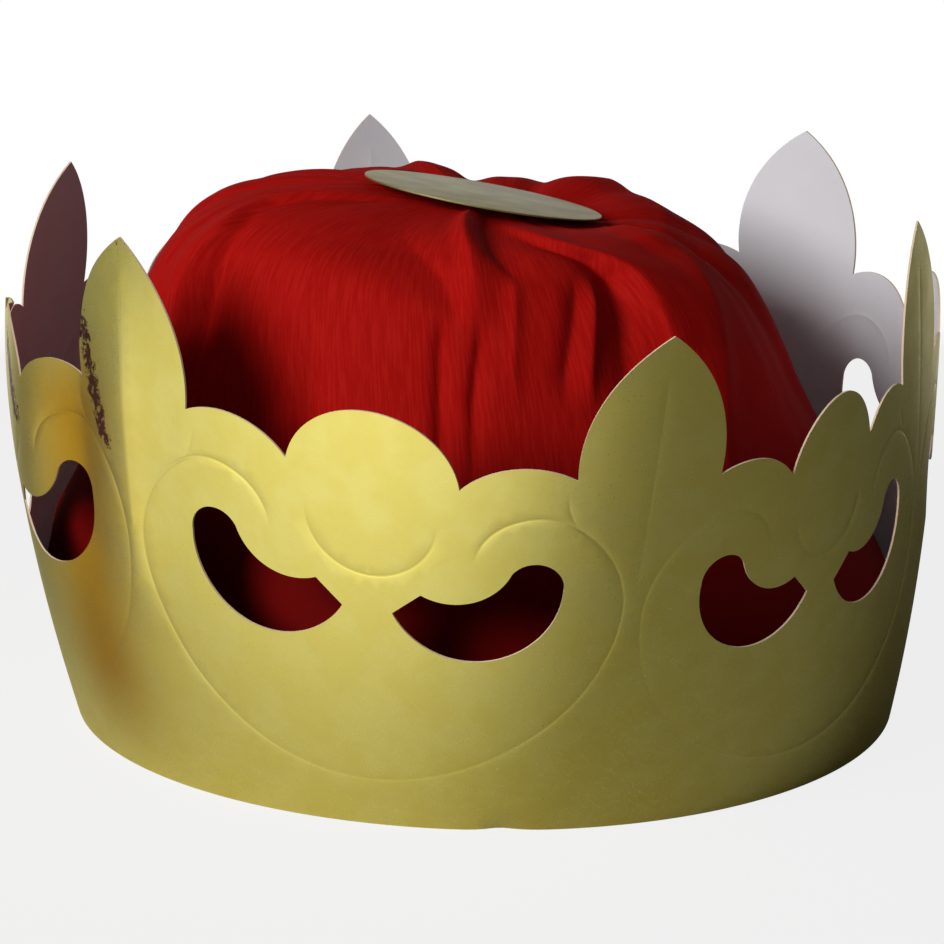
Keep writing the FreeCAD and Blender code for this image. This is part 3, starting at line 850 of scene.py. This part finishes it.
@dataclass
class CrownBand:
    """Die-cut band of gold card, bent into a ring and closed by a glued lap."""

    wall: Wall
    thickness: float = 0.4
    lap_place: float = 1.5
    lap_width: float = 14.0
    lap_bottom: float = 1.5
    lap_top: float = 40.0
    petals: int = 6
    dented_petal: int = 5
    # Place, reach, top and ease of the painted golden-brown reflection left of the crease, in millimetres.
    brown_reflection_place: float = -19.0
    brown_reflection_reach: float = 15.0
    brown_reflection_top: float = 104.0
    brown_reflection_ease: float = 26.0
    # The dented petal's tip, which is given the dark maroon of the painted reflection at this share.
    tip_height: float = 113.5
    tip_ease: float = 6.0
    tip_half_width: float = 12.0
    tip_share: float = 0.62

    def flat_ring(self) -> tuple[np.ndarray, list, np.ndarray]:
        """Twelve half units side by side.

        Returns:
            Flat points, faces and embossing depth.
        """
        _, girth = self.wall.table()
        pitch = girth / self.petals
        card = FlatCard(Pattern(pitch))
        card.build()
        points, faces, depth = [], [], []
        count = len(card.points)
        for unit in range(self.petals):
            for side in (1.0, -1.0):
                first = len(points) * count
                points.append(card.points * (side, 1.0) + (unit * pitch, 0.0))
                faces += [[first + n for n in (face if side > 0 else face[::-1])] for face in card.faces]
                depth.append(card.depth)
        return np.vstack(points), faces, np.concatenate(depth)

    def beside(self, flat: np.ndarray, line: np.ndarray | float) -> np.ndarray:
        """Distance along the card from a line that is given from the dented petal's centre line.

        Args:
            flat: rows of place along the card and height, in millimetres.
            line: where the line is at each point.

        Returns:
            Distances in millimetres, less than zero on the left.
        """
        _, girth = self.wall.table()
        away = flat[:, 0] - girth * self.dented_petal / self.petals - line
        return (away + girth / 2.0) % girth - girth / 2.0

    def painted_reflections(self, flat: np.ndarray) -> dict[str, np.ndarray]:
        """Where the foil takes its painted reflections, left of the petal's crease: golden brown where it is
        bent, dark maroon in streaks and at the petal's tip.

        Args:
            flat: rows of place along the card and height, in millimetres.

        Returns:
            Shares from 0 to 1 by the attribute's name.
        """
        height = flat[:, 1]
        # Golden-brown painted reflection, round its place left of the crease.
        bent = np.exp(-((self.beside(flat, self.brown_reflection_place) / self.brown_reflection_reach) ** 2))
        bent *= smooth_step(height / self.brown_reflection_ease)
        bent *= smooth_step((self.brown_reflection_top - height) / self.brown_reflection_ease)
        # Dark maroon painted reflection in slanting streaks; the petal's tip takes the same maroon below.
        maroon_reflection = np.zeros(len(flat))
        for streak in REFLECTION_STREAKS:
            away = self.beside(flat, streak.foot + streak.slant * (height - streak.low))
            ends = smooth_step((height - streak.low) / 10.0) * smooth_step((streak.high - height) / 12.0)
            maroon_reflection = np.maximum(maroon_reflection, np.exp(-((away / streak.reach) ** 2)) * ends)
        tip = smooth_step((height - self.tip_height) / self.tip_ease)
        tip *= np.abs(self.beside(flat, 0.0)) < self.tip_half_width
        return {"bent": bent, "maroon_reflection": np.maximum(maroon_reflection, self.tip_share * tip)}

    def bent(self, flat: np.ndarray, inset: np.ndarray) -> np.ndarray:
        """Flat card points bent onto the wall.

        Args:
            flat: rows of place along the card and height, in millimetres.
            inset: distance in from the outer face at each point.

        Returns:
            Rows of x, y, z in millimetres.
        """
        _, girth = self.wall.table()
        for dent in BAND_DENTS:
            inset = inset - dent.height(self.beside(flat, dent.crest(flat[:, 1])), flat[:, 1])
        return self.wall.point(flat[:, 0] / girth, flat[:, 1], inset)

    def build(self) -> bpy.types.Object:
        """The band as one piece; its lap is built apart."""
        flat, faces, depth = self.flat_ring()
        piece = mesh_object("card_band", self.bent(flat, depth), faces)
        mesh = piece.data
        # Masks of the foil's painted reflections, kept as point attributes.
        for name, share in self.painted_reflections(flat).items():
            mesh.attributes.new(name, "FLOAT", "POINT").data.foreach_set("value", share)
        choose(piece)
        bpy.ops.object.mode_set(mode="EDIT")
        bpy.ops.mesh.select_all(action="SELECT")
        bpy.ops.mesh.remove_doubles(threshold=0.00002)
        bpy.ops.mesh.normals_make_consistent(inside=False)
        bpy.ops.object.mode_set(mode="OBJECT")
        self.face_outwards(mesh)
        self.thicken(piece, card_finishes(GoldFoil().build(), "cut"))
        return piece

    def thicken(self, piece: bpy.types.Object, finishes: list[bpy.types.Material]) -> None:
        """Gives a sheet the card's thickness, with its faces' and edge's finishes.

        Args:
            piece: the sheet.
            finishes: materials of the outer face, the inner face and the cut edge.
        """
        for material in finishes:
            piece.data.materials.append(material)
        choose(piece)
        wall = piece.modifiers.new("card", "SOLIDIFY")
        wall.thickness = self.thickness * MM
        wall.offset = -1.0
        wall.material_offset = 1
        wall.material_offset_rim = 2
        bpy.ops.object.modifier_apply(modifier="card")
        bpy.ops.object.shade_smooth_by_angle(angle=math.radians(50.0))

    def face_outwards(self, mesh: bpy.types.Mesh) -> None:
        """Turns the sheet over if its faces point at the axis."""
        face = mesh.polygons[0]
        middle = Vector((*self.wall.middle, 0.0)) * MM
        outward = Vector((face.center.x - middle.x, face.center.y - middle.y, 0.0))
        if face.normal.dot(outward) < 0.0:
            mesh.flip_normals()

    def lap(self) -> bpy.types.Object:
        """Tab of card glued inside the wall under a lobe."""
        _, girth = self.wall.table()
        pitch = girth / self.petals
        centre = pitch * self.lap_place
        columns, rows = 12, 26
        place = centre + np.linspace(-self.lap_width / 2.0, self.lap_width / 2.0, columns + 1)
        height = np.linspace(self.lap_bottom, self.lap_top, rows + 1)
        grid = np.array([(p, h) for p in place for h in height])
        points = self.bent(grid, np.full(len(grid), self.thickness + 0.02))
        faces = []
        for column in range(columns):
            for row in range(rows):
                corner = column * (rows + 1) + row
                faces.append([corner, corner + rows + 1, corner + rows + 2, corner + 1])
        piece = mesh_object("band_lap", points, faces)
        self.face_outwards(piece.data)
        self.thicken(piece, card_finishes(None, "lap"))
        return piece

    def dress(self) -> list[bpy.types.Object]:
        """Builds the band and puts it on the frame."""
        pieces = [self.build(), self.lap()]
        for piece in pieces:
            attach(piece, "root")
            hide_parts("crown_band")
            log.info("%s: %d faces", piece.name, len(piece.data.polygons))
        return pieces


FOLDS = (
    Fold("bulge behind the left crescent", (
        (0.8, 180, 0, 24, 24), (1.7, 180, 6, 24, 24), (2.6, 180, 9, 24, 24), (3.4, 180, 6.5, 24, 24),
        (4.6, 180, 0, 24, 24),
    ), 2.0),
    Fold("left pleat", (
        (3.5, 221, 0, 14, 3), (5.2, 216, 1, 14, 3), (6, 214.5, 2.6, 14, 2.5), (7.2, 216, 3.2, 14, 2),
        (8.3, 217, 2.6, 12, 1.6), (8.9, 213.5, 2, 9, 1.4), (9.4, 212.5, 1.8, 7, 1.3),
        (10, 215.6, 1.5, 6, 1.2), (11, 224, 1, 5, 1.2), (12, 232, 0, 4, 1.2),
    )),
    Fold("left wedge", (
        (4.8, 222, 0, 2, 6), (5.6, 220, -3, 2.5, 6), (6.3, 219, -4.5, 2.5, 8), (7.2, 220.5, -3.5, 2, 6),
        (8.2, 219.3, -2, 1.5, 3.5), (8.9, 215.5, -1.4, 1.2, 4), (9.4, 214.8, -1.2, 1.2, 5),
        (10, 218, -1, 1.2, 6), (11, 227, -0.6, 1.2, 5), (12, 235, 0, 1.2, 4),
    )),
    Fold("lip", (
        (7, 205, 0, 1.3, 1.5), (7.7, 203.3, -1.3, 1.3, 1.5), (8.3, 202.5, -1.6, 1.3, 1.5),
        (9.3, 198.9, -1.6, 1.3, 1.5), (10.3, 202, -1.4, 1.3, 1.5), (11.3, 214.8, -1, 1.2, 1.4),
        (12.2, 225, 0, 1, 1),
    )),
    Fold("front valley a", (
        (2.2, 240, 0, 8, 8), (3.4, 240, -2.5, 8, 8), (4.6, 239.5, -3, 7, 7), (5.8, 237, -1.5, 6, 6),
        (6.8, 238, 0, 6, 6),
    )),
    Fold("front valley b", (
        (3.2, 242, 0, 4, 5), (4.6, 242.5, -2, 4, 5), (5.8, 244.8, -1.2, 3.5, 5), (6.9, 245, 0, 3, 4),
    )),
    Fold("shoulder hollow", (
        (6.7, 270, 0, 3, 1.5), (7.1, 270, -1.5, 4, 1.5), (7.8, 268, -3.5, 14, 4), (8.6, 262, -4.5, 22, 8),
        (9.4, 256, -3.5, 20, 12), (10.4, 252, -2, 14, 12), (11.4, 252, 0, 10, 10),
    )),
    Fold("front ridge", (
        (6.6, 273, 0, 3, 5), (7.4, 273.5, 1.2, 2, 4), (7.9, 274, 2, 1.8, 4), (8.6, 273.8, 2.6, 1.8, 3.5),
        (9.4, 272, 2.8, 1.8, 3), (10.2, 270.4, 2.4, 1.8, 2.4), (11.2, 268, 1.5, 1.5, 2),
        (12, 266, 0, 1.5, 2),
    )),
    Fold("front ridge valley", (
        (7.6, 283, 0, 2, 6), (8.1, 281.3, -1.5, 1.8, 6), (8.5, 279.6, -2.4, 1.6, 8),
        (9.2, 278.2, -2.6, 1.4, 9), (10, 277, -2, 1.3, 8), (11, 276, -1, 1.2, 5), (12, 275, 0, 1, 4),
    )),
    Fold("crease a", (
        (3.2, 265, 0, 1.3, 2.5), (4.5, 265.3, -1.6, 1.3, 2.5), (5.4, 266, -1.6, 1.3, 2.5),
        (6.4, 267, -1.2, 1.3, 2.5), (7, 268, 0, 1.3, 2.5),
    )),
    Fold("crease b", (
        (3.6, 270, 0, 1.2, 2.2), (4.6, 270.5, -0.8, 1.2, 2.2), (5.4, 271.3, -1.4, 1.2, 2.2),
        (6.4, 273.6, -1, 1.2, 2.2), (6.9, 274, 0, 1.2, 2.2),
    )),
    Fold("streak", (
        (5.2, 278, 0, 1.5, 1.5), (6, 278.5, 0.7, 1.5, 1.5), (7.4, 281, 0.9, 1.5, 1.5),
        (7.9, 282, 0, 1.5, 1.5),
    )),
    Fold("ridge c valley", (
        (5.2, 286, 0, 2, 2), (5.8, 287, -1.2, 2, 2), (7.2, 292, -1.3, 2.2, 2), (7.9, 294, 0, 2, 2),
    )),
    Fold("ridge c", (
        (5.2, 290, 0, 2, 1.5), (5.8, 291, 1.3, 2, 1.5), (7.2, 295.5, 1.6, 2, 1.5), (7.9, 297.5, 0, 2, 1.5),
    )),
    Fold("deep valley", (
        (4.8, 297, 0, 4, 4), (5.8, 298, -2.5, 5, 4), (6.5, 300, -4, 6, 3), (7.3, 302, -4.5, 6, 2.2),
        (7.9, 303.2, -4, 5, 1.8), (8.5, 300.5, -2.5, 4, 1.5), (9.2, 292, -1.5, 4, 1.5),
        (10.2, 284, 0, 3, 1.5),
    )),
    Fold("deep edge", (
        (4.5, 306, 0, 1.5, 12), (5.5, 306.5, 1.5, 1.6, 10), (6.3, 306.8, 2.2, 1.6, 10),
        (7.2, 306.8, 2.5, 1.5, 9), (7.9, 306.6, 2.2, 1.4, 8), (8.5, 303.5, 1.8, 1.3, 6),
        (9.2, 294, 1.4, 1.2, 5), (10.2, 287, 0.8, 1.2, 4), (11.2, 282, 0, 1, 3),
    )),
    Fold("right corner", (
        (3, 309, 0, 10, 8), (4.2, 311, 2.5, 10, 8), (5.1, 313.4, 3.2, 11, 7), (6.3, 318.7, 3.2, 12, 6),
        (7.1, 322, 2.6, 12, 5), (8, 327, 1.2, 12, 6), (8.6, 330, 0, 12, 8),
    )),
    Fold("right flat", (
        (3, 350, 0, 22, 30), (4.5, 350, -5, 22, 30), (6, 350, -6.5, 24, 30), (7.2, 352, -7.5, 24, 26),
        (8.2, 356, -6.5, 24, 24), (9.4, 360, -2, 20, 20), (10.4, 360, 0, 16, 16),
    )),
    Fold("left flat", (
        (5, 180, 0, 24, 20), (6.2, 180, -1.5, 24, 20), (7.2, 182, -4, 26, 20), (8.2, 184, -6, 26, 20),
        (9.2, 184, -5, 24, 18), (10.2, 184, -3, 16, 14), (11.4, 184, 0, 10, 10),
    )),
    Fold("right crest", (
        (7, 337, 0, 5, 3), (8, 333, 1.2, 5, 2.5), (9.2, 328, 1.8, 5, 2.2), (10.2, 333, 1.5, 4, 2),
        (11.4, 345, 0, 3, 2),
    )),
    Fold("back right bulge", (
        (6.6, 410, 0, 18, 18), (8, 410, 3, 18, 18), (8.9, 410, 5.5, 18, 18), (9.8, 412, 4.5, 14, 14),
        (10.8, 415, 1.5, 8, 8), (11.6, 418, 0, 6, 6),
    )),
    Fold("back bulge", (
        (7, 461, 0, 10, 10), (8.5, 461, 2, 10, 10), (9.5, 461, 3.8, 9, 9), (10.4, 461, 3, 8, 8),
        (11.6, 461, 0, 6, 6),
    )),
)


@dataclass(frozen=True)
class PuffRow:
    """One row of the puff's profile."""

    height: float
    radius: float
    shift: float
    depth: float
    tilt: float


@dataclass
class CrepePuff:
    """Red crepe puff: its hem glued inside the band, its top gathered under the disc."""

    wall: Wall
    gap: float = 0.35
    card: float = 0.4
    hem_bottom: float = 4.0
    hem_top: float = 22.0
    gather_height: float = 112.5
    gather_centre: Point = (2.0, -2.0)
    gather_radius: float = 7.0
    tilt_right: float = 10.9
    tilt_back: float = 3.4
    pleats: int = 17
    sharpness: float = 2.0
    columns: int = 700
    rows: int = 135
    profile: tuple[PuffRow, ...] = (
        PuffRow(50.0, 81.5, 0.0, 0.5, 0.0),
        PuffRow(64.0, 77.5, 1.0, 1.0, 0.0),
        PuffRow(78.0, 74.0, 2.0, 1.5, 0.0),
        PuffRow(90.0, 71.0, 3.5, 2.0, 0.1),
        PuffRow(99.5, 67.5, 4.5, 2.6, 0.2),
        PuffRow(106.5, 60.5, 5.5, 3.2, 0.35),
        PuffRow(110.0, 51.0, 5.5, 3.6, 0.5),
        PuffRow(111.5, 40.0, 4.0, 3.4, 0.7),
        PuffRow(110.8, 29.0, 2.0, 2.6, 1.0),
        PuffRow(110.6, 19.0, 0.0, 1.6, 1.0),
        PuffRow(111.6, 11.5, 0.0, 0.5, 1.0),
    )

    def rise(self, x: np.ndarray, y: np.ndarray) -> np.ndarray:
        """Height of the disc's plane over the gather's centre."""
        right = math.tan(math.radians(self.tilt_right))
        back = math.tan(math.radians(self.tilt_back))
        return -(x - self.gather_centre[0]) * right - (y - self.gather_centre[1]) * back

    def pleat(self, angle: np.ndarray) -> np.ndarray:
        """Depth share of the pleats: 0 on a ridge, 1 in a valley."""
        warped = self.pleats * angle + 1.1 * np.sin(2.0 * angle + 0.6) + 0.8 * np.sin(3.0 * angle + 2.0)
        valley = (0.5 + 0.5 * np.cos(warped)) ** self.sharpness
        behind = smooth_step(0.75 + 0.75 * np.sin(angle)) * 0.85 + 0.15
        return valley * behind * (0.75 + 0.25 * np.sin(5.0 * angle + 1.0))

    def guide_rows(self, turn: np.ndarray) -> np.ndarray:
        """Guide points from the hem up to the gather, for each column.

        Args:
            turn: share of the card's length at each column.

        Returns:
            Points by row and column, in millimetres, before the frame's shift.
        """
        angle = self.wall.angle(turn)
        outward = np.stack([np.cos(angle), np.sin(angle), np.zeros_like(angle)], axis=-1)
        middle = np.array([*self.wall.middle, 0.0])
        rows = []
        for height in (self.hem_bottom, (self.hem_bottom + self.hem_top) / 2.0, self.hem_top):
            inset = np.full_like(turn, self.card + self.gap)
            rows.append(self.wall.point(turn, np.full_like(turn, height), inset) - middle)
        first = self.profile[0]
        rows.append(rows[-1] * 0.5 + (outward * first.radius + (0.0, 0.0, first.height)) * 0.5)
        for row in self.profile:
            fold = row.depth * self.pleat(angle)
            level = min(1.0, max(0.0, (first.radius - row.radius) / (first.radius - self.gather_radius)))
            spot = outward * (row.radius - fold * (1.0 - level))[:, None] + (-row.shift, 0.0, 0.0)
            spot = spot + np.array([*self.gather_centre, 0.0]) * level
            spot[:, 2] = row.height - fold * level + row.tilt * self.rise(spot[:, 0], spot[:, 1])
            rows.append(spot)
        last = outward * self.gather_radius + (*self.gather_centre, 0.0)
        last[:, 2] = self.gather_height + self.rise(last[:, 0], last[:, 1])
        rows.append(last)
        return np.array(rows)

    def smooth_rows(self, guides: np.ndarray) -> np.ndarray:
        """Rows of a smooth sheet drawn over the guide rows as a cubic spline.

        Args:
            guides: points by row and column.

        Returns:
            Points by row and column, with the sheet's own number of rows.
        """
        count = len(guides)
        knots = np.concatenate([[0.0] * 3, np.arange(count - 2), [count - 3.0] * 3])
        out = []
        for place in np.linspace(0.0, count - 3.0 - 1e-9, self.rows):
            span = int(np.searchsorted(knots, place, side="right") - 1)
            span = min(max(span, 3), count - 1)
            work = [guides[span - 3 + k] for k in range(4)]
            for level in range(1, 4):
                for k in range(3, level - 1, -1):
                    low = knots[span - 3 + k]
                    high = knots[span + 1 + k - level]
                    share = (place - low) / (high - low)
                    work[k] = work[k - 1] * (1.0 - share) + work[k] * share
            out.append(work[3])
        return np.array(out)

    def folded(self, rows: np.ndarray, turn: np.ndarray) -> np.ndarray:
        """The sheet with its folds raised and sunk.

        Args:
            rows: points of the smooth sheet by row and column.
            turn: share of the card's length at each column.

        Returns:
            Points by row and column, in millimetres.
        """
        angle = self.wall.angle(turn)
        outward = np.stack([np.cos(angle), np.sin(angle), np.zeros_like(angle)], axis=-1)
        centre = np.array([*self.gather_centre, 0.0])
        place = np.linspace(0.0, len(self.profile) + 2.0, self.rows)[:, None]
        radius = np.linalg.norm((rows - centre)[:, :, :2], axis=2)
        wide = self.profile[0].radius
        level = np.clip((wide - radius) / (wide - self.gather_radius), 0.0, 1.0)
        height = np.zeros_like(radius)
        for fold in FOLDS:
            away = (np.degrees(angle)[None, :] - fold.crest(place) + 180.0) % 360.0 - 180.0
            height += fold.height(np.radians(away) * radius, place)
        size = height / np.sqrt((1.0 - level) ** 2 + level**2)
        moved = rows + outward[None, :, :] * (size * (1.0 - level))[:, :, None]
        moved[:, :, 2] += size * level
        return moved

    def build(self) -> bpy.types.Object:
        """The puff as one sheet, open below, closed over the gather."""
        turn = np.arange(self.columns) / self.columns
        rows = self.folded(self.smooth_rows(self.guide_rows(turn)), turn) + (*self.wall.middle, 0.0)
        points = rows.reshape(-1, 3)
        faces = []
        for row in range(self.rows - 1):
            for column in range(self.columns):
                after = (column + 1) % self.columns
                low, high = row * self.columns, (row + 1) * self.columns
                faces.append([low + column, low + after, high + after, high + column])
        top = (self.rows - 1) * self.columns
        centre = len(points)
        points = np.vstack([points, points[top:].mean(axis=0)])
        faces += [[top + column, top + (column + 1) % self.columns, centre] for column in range(self.columns)]
        piece = mesh_object("crepe_sheet", points, faces)
        self.lay_flat(piece.data, rows)
        piece.data.materials.append(RedCrepe().build())
        choose(piece)
        bpy.ops.object.shade_smooth()
        return piece

    def lay_flat(self, mesh: bpy.types.Mesh, rows: np.ndarray) -> None:
        """UV map of the sheet: place round the hem and length up the sheet, in metres."""
        steps = np.linalg.norm(np.diff(rows, axis=0), axis=2).mean(axis=1)
        lengths = np.concatenate([[0.0], np.cumsum(steps)])
        layer = mesh.uv_layers.new(name="sheet")
        _, girth = self.wall.table()
        for face in mesh.polygons:
            columns = [mesh.loops[loop].vertex_index % self.columns for loop in face.loop_indices]
            wrap = max(columns) - min(columns) > self.columns // 2
            for loop in face.loop_indices:
                number = mesh.loops[loop].vertex_index
                row, column = divmod(number, self.columns)
                if row >= self.rows:
                    row, column = self.rows - 1, columns[0]
                if wrap and column < self.columns // 2:
                    column += self.columns
                layer.data[loop].uv = (column / self.columns * girth * MM, float(lengths[row]) * MM)

    def dress(self) -> bpy.types.Object:
        """Builds the puff and puts it on the frame."""
        piece = self.build()
        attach(piece, "root")
        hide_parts("crepe_puff")
        log.info("%s: %d faces", piece.name, len(piece.data.polygons))
        return piece


@dataclass
class TopDisc:
    """Small round of the same card on the gathers."""

    puff: CrepePuff
    radius: float = 26.0
    thickness: float = 0.4

    def build(self) -> bpy.types.Object:
        """The disc, tilted on its seat."""
        bpy.ops.object.select_all(action="DESELECT")
        right, back = (math.tan(math.radians(tilt)) for tilt in (self.puff.tilt_right, self.puff.tilt_back))
        normal = Vector((right, back, 1.0)).normalized()
        place = Vector((*self.puff.gather_centre, self.puff.gather_height))
        place += Vector((*self.puff.wall.middle, 0.0))
        bpy.ops.mesh.primitive_cylinder_add(
            vertices=128, radius=self.radius * MM, depth=self.thickness * MM, end_fill_type="NGON"
        )
        piece = bpy.context.object
        piece.name = "gold_disc"
        turn = Vector((0.0, 0.0, 1.0)).rotation_difference(normal).to_matrix().to_4x4()
        piece.data.transform(Matrix.Translation((place + normal * self.thickness / 2.0) * MM) @ turn)
        bevel = piece.modifiers.new("edge", "BEVEL")
        bevel.width = 0.08 * MM
        bevel.segments = 2
        bevel.limit_method = "ANGLE"
        bpy.ops.object.modifier_apply(modifier="edge")
        # The disc's foil is written darker and greyer than the band's foil.
        foil = GoldFoil("disc_foil", srgb(130, 121, 74), srgb(118, 108, 62), metallic=0.55, roughness=0.5)
        piece.data.materials.append(foil.build())
        bpy.ops.object.shade_smooth_by_angle(angle=math.radians(40.0))
        return piece

    def dress(self) -> bpy.types.Object:
        """Builds the disc and puts it on the frame."""
        piece = self.build()
        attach(piece, "root")
        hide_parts("top_disc")
        log.info("%s: %d faces", piece.name, len(piece.data.polygons))
        return piece


# Studio


@dataclass
class Studio:
    """Floor, lights and camera."""

    middle: Point
    elevation: float = 14.2
    distance: float = 719.77
    roll: float = -0.57
    aside: float = -1.0
    lift: float = 10.11
    aim_height: float = 40.0
    focal: float = 3236.5
    frame: float = 944.0
    floor_fade: tuple[float, float] = (0.12, 0.5)
    floor_near_share: float = 0.84
    front_reach: float = 0.2

    def camera(self) -> None:
        """Camera at the photograph's angle."""
        tilt = math.radians(self.elevation)
        back = Vector((0.0, -math.cos(tilt), math.sin(tilt)))
        up = Vector((0.0, math.sin(tilt), math.cos(tilt)))
        right = Vector((1.0, 0.0, 0.0))
        spin = math.radians(self.roll)
        turned_right = right * math.cos(spin) + up * math.sin(spin)
        turned_up = up * math.cos(spin) - right * math.sin(spin)
        place = back * self.distance + Vector((self.middle[0], self.middle[1], self.aim_height))
        place += right * self.aside + up * self.lift
        data = bpy.data.cameras.new("camera")
        data.sensor_width = 36.0
        data.lens = self.focal / self.frame * 36.0
        data.clip_start = 0.01
        data.clip_end = 50.0
        camera = bpy.data.objects.new("camera", data)
        bpy.context.collection.objects.link(camera)
        matrix = Matrix((turned_right, turned_up, back)).transposed().to_4x4()
        matrix.translation = place * MM
        camera.matrix_world = matrix
        bpy.context.scene.camera = camera

    def floor(self) -> None:
        """Pale floor that keeps the crown's shadow; to reflections it glows white behind and, as a painted
        reflection, at the front left.
        """
        bpy.ops.object.select_all(action="DESELECT")
        bpy.ops.mesh.primitive_plane_add(size=12.0)
        floor = bpy.context.object
        floor.name = "floor"
        floor.data.transform(Matrix.Translation((0.0, 0.0, -0.00002)))
        material, nodes, shader = new_material("floor_paper")
        shader.inputs["Base Color"].default_value = (0.3, 0.3, 0.3, 1.0)
        shader.inputs["Roughness"].default_value = 1.0
        shader.inputs["Specular IOR Level"].default_value = 0.0
        path = nodes.add("ShaderNodeLightPath")
        direct = nodes.maths("MAXIMUM", path.outputs["Is Camera Ray"], path.outputs["Is Transmission Ray"])
        place = nodes.add("ShaderNodeTexCoord").outputs["Object"]
        sides = nodes.add("ShaderNodeGroup", node_tree=Effects.get(studio_sides))
        nodes.link(place, sides.inputs["Vector"])
        distance = nodes.add("ShaderNodeVectorMath", operation="LENGTH", i0=place).outputs["Value"]
        far = nodes.ramp(distance, *self.floor_fade)
        shown = nodes.maths("MULTIPLY", direct, nodes.maths("MAXIMUM", far, self.floor_near_share))
        # Glossy rays alone see the floor glow white at the front left: a painted reflection in the gold, not
        # a lamp.
        narrow = nodes.add("ShaderNodeVectorMath", operation="MULTIPLY", i0=place, i1=(0.5, 1.0, 1.0))
        measure = nodes.add("ShaderNodeVectorMath", operation="LENGTH", i0=narrow.outputs[0])
        reach = nodes.ramp(measure.outputs["Value"], 0.0, self.front_reach)
        front = nodes.maths("MULTIPLY", sides.outputs["Front left"], reach)
        back = nodes.maths("MULTIPLY", sides.outputs["Backdrop"], far)
        mirrored = nodes.maths("MULTIPLY", path.outputs["Is Glossy Ray"], nodes.maths("MAXIMUM", front, back))
        glow = nodes.add("ShaderNodeEmission", Color=(1.0, 1.0, 1.0, 1.0), Strength=1.0)
        share = nodes.maths("MAXIMUM", shown, mirrored)
        mix = nodes.add("ShaderNodeMixShader", i0=share, i1=shader.outputs[0], i2=glow.outputs[0])
        out = next(node for node in nodes.tree.nodes if node.type == "OUTPUT_MATERIAL")
        nodes.link(mix.outputs[0], out.inputs[0])
        floor.data.materials.append(material)

    def lamp(self, name: str, place: tuple, aim: tuple, size: tuple, power: float) -> None:
        """One soft box.

        Args:
            name: name of the lamp.
            place: where it stands, in metres.
            aim: where it points, in metres.
            size: width and height in metres.
            power: watts.
        """
        data = bpy.data.lights.new(name, "AREA")
        data.shape = "RECTANGLE"
        data.size, data.size_y = size
        data.energy = power
        lamp = bpy.data.objects.new(name, data)
        bpy.context.collection.objects.link(lamp)
        lamp.location = place
        lamp.rotation_euler = (Vector(place) - Vector(aim)).to_track_quat("Z", "Y").to_euler()

    def world(self) -> None:
        """Dim surroundings for the light, white to the camera, and white to reflections towards the backdrop
        and, as a painted reflection, the front left.
        """
        world = bpy.data.worlds.new("studio")
        bpy.context.scene.world = world
        world.use_nodes = True
        nodes = Nodes(world.node_tree)
        nodes.tree.nodes.clear()
        out = nodes.add("ShaderNodeOutputWorld")
        light = nodes.add("ShaderNodeBackground", Color=(1.0, 1.0, 1.0, 1.0), Strength=0.08)
        white = nodes.add("ShaderNodeBackground", Color=(1.0, 1.0, 1.0, 1.0), Strength=1.0)
        path = nodes.add("ShaderNodeLightPath")
        direct = nodes.maths("MAXIMUM", path.outputs["Is Camera Ray"], path.outputs["Is Transmission Ray"])
        sides = nodes.add("ShaderNodeGroup", node_tree=Effects.get(studio_sides))
        nodes.link(nodes.add("ShaderNodeTexCoord").outputs["Generated"], sides.inputs["Vector"])
        either = nodes.maths("MAXIMUM", sides.outputs["Backdrop"], sides.outputs["Front left"])
        seen = nodes.maths("MAXIMUM", direct, nodes.maths("MULTIPLY", path.outputs["Is Glossy Ray"], either))
        mix = nodes.add("ShaderNodeMixShader", i0=seen, i1=light.outputs[0], i2=white.outputs[0])
        nodes.link(mix.outputs[0], out.inputs[0])

    def build(self) -> None:
        """Sets up the whole studio."""
        bpy.context.scene.view_settings.view_transform = "Standard"
        self.camera()
        self.floor()
        self.world()
        self.lamp("key", (-1.0, -1.0, 0.75), (0.0, 0.0, 0.05), (0.7, 0.7), 22.0)


def main() -> None:
    """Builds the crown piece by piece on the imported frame."""
    logging.basicConfig(level=logging.INFO, format="%(name)s: %(message)s")
    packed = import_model()
    log.info("frame nodes: %s", sorted(packed["nodes"]))
    wall = Wall()
    CrownBand(wall).dress()
    puff = CrepePuff(wall)
    puff.dress()
    TopDisc(puff).dress()
    Studio(wall.middle).build()


if __name__ == "__main__":
    main()
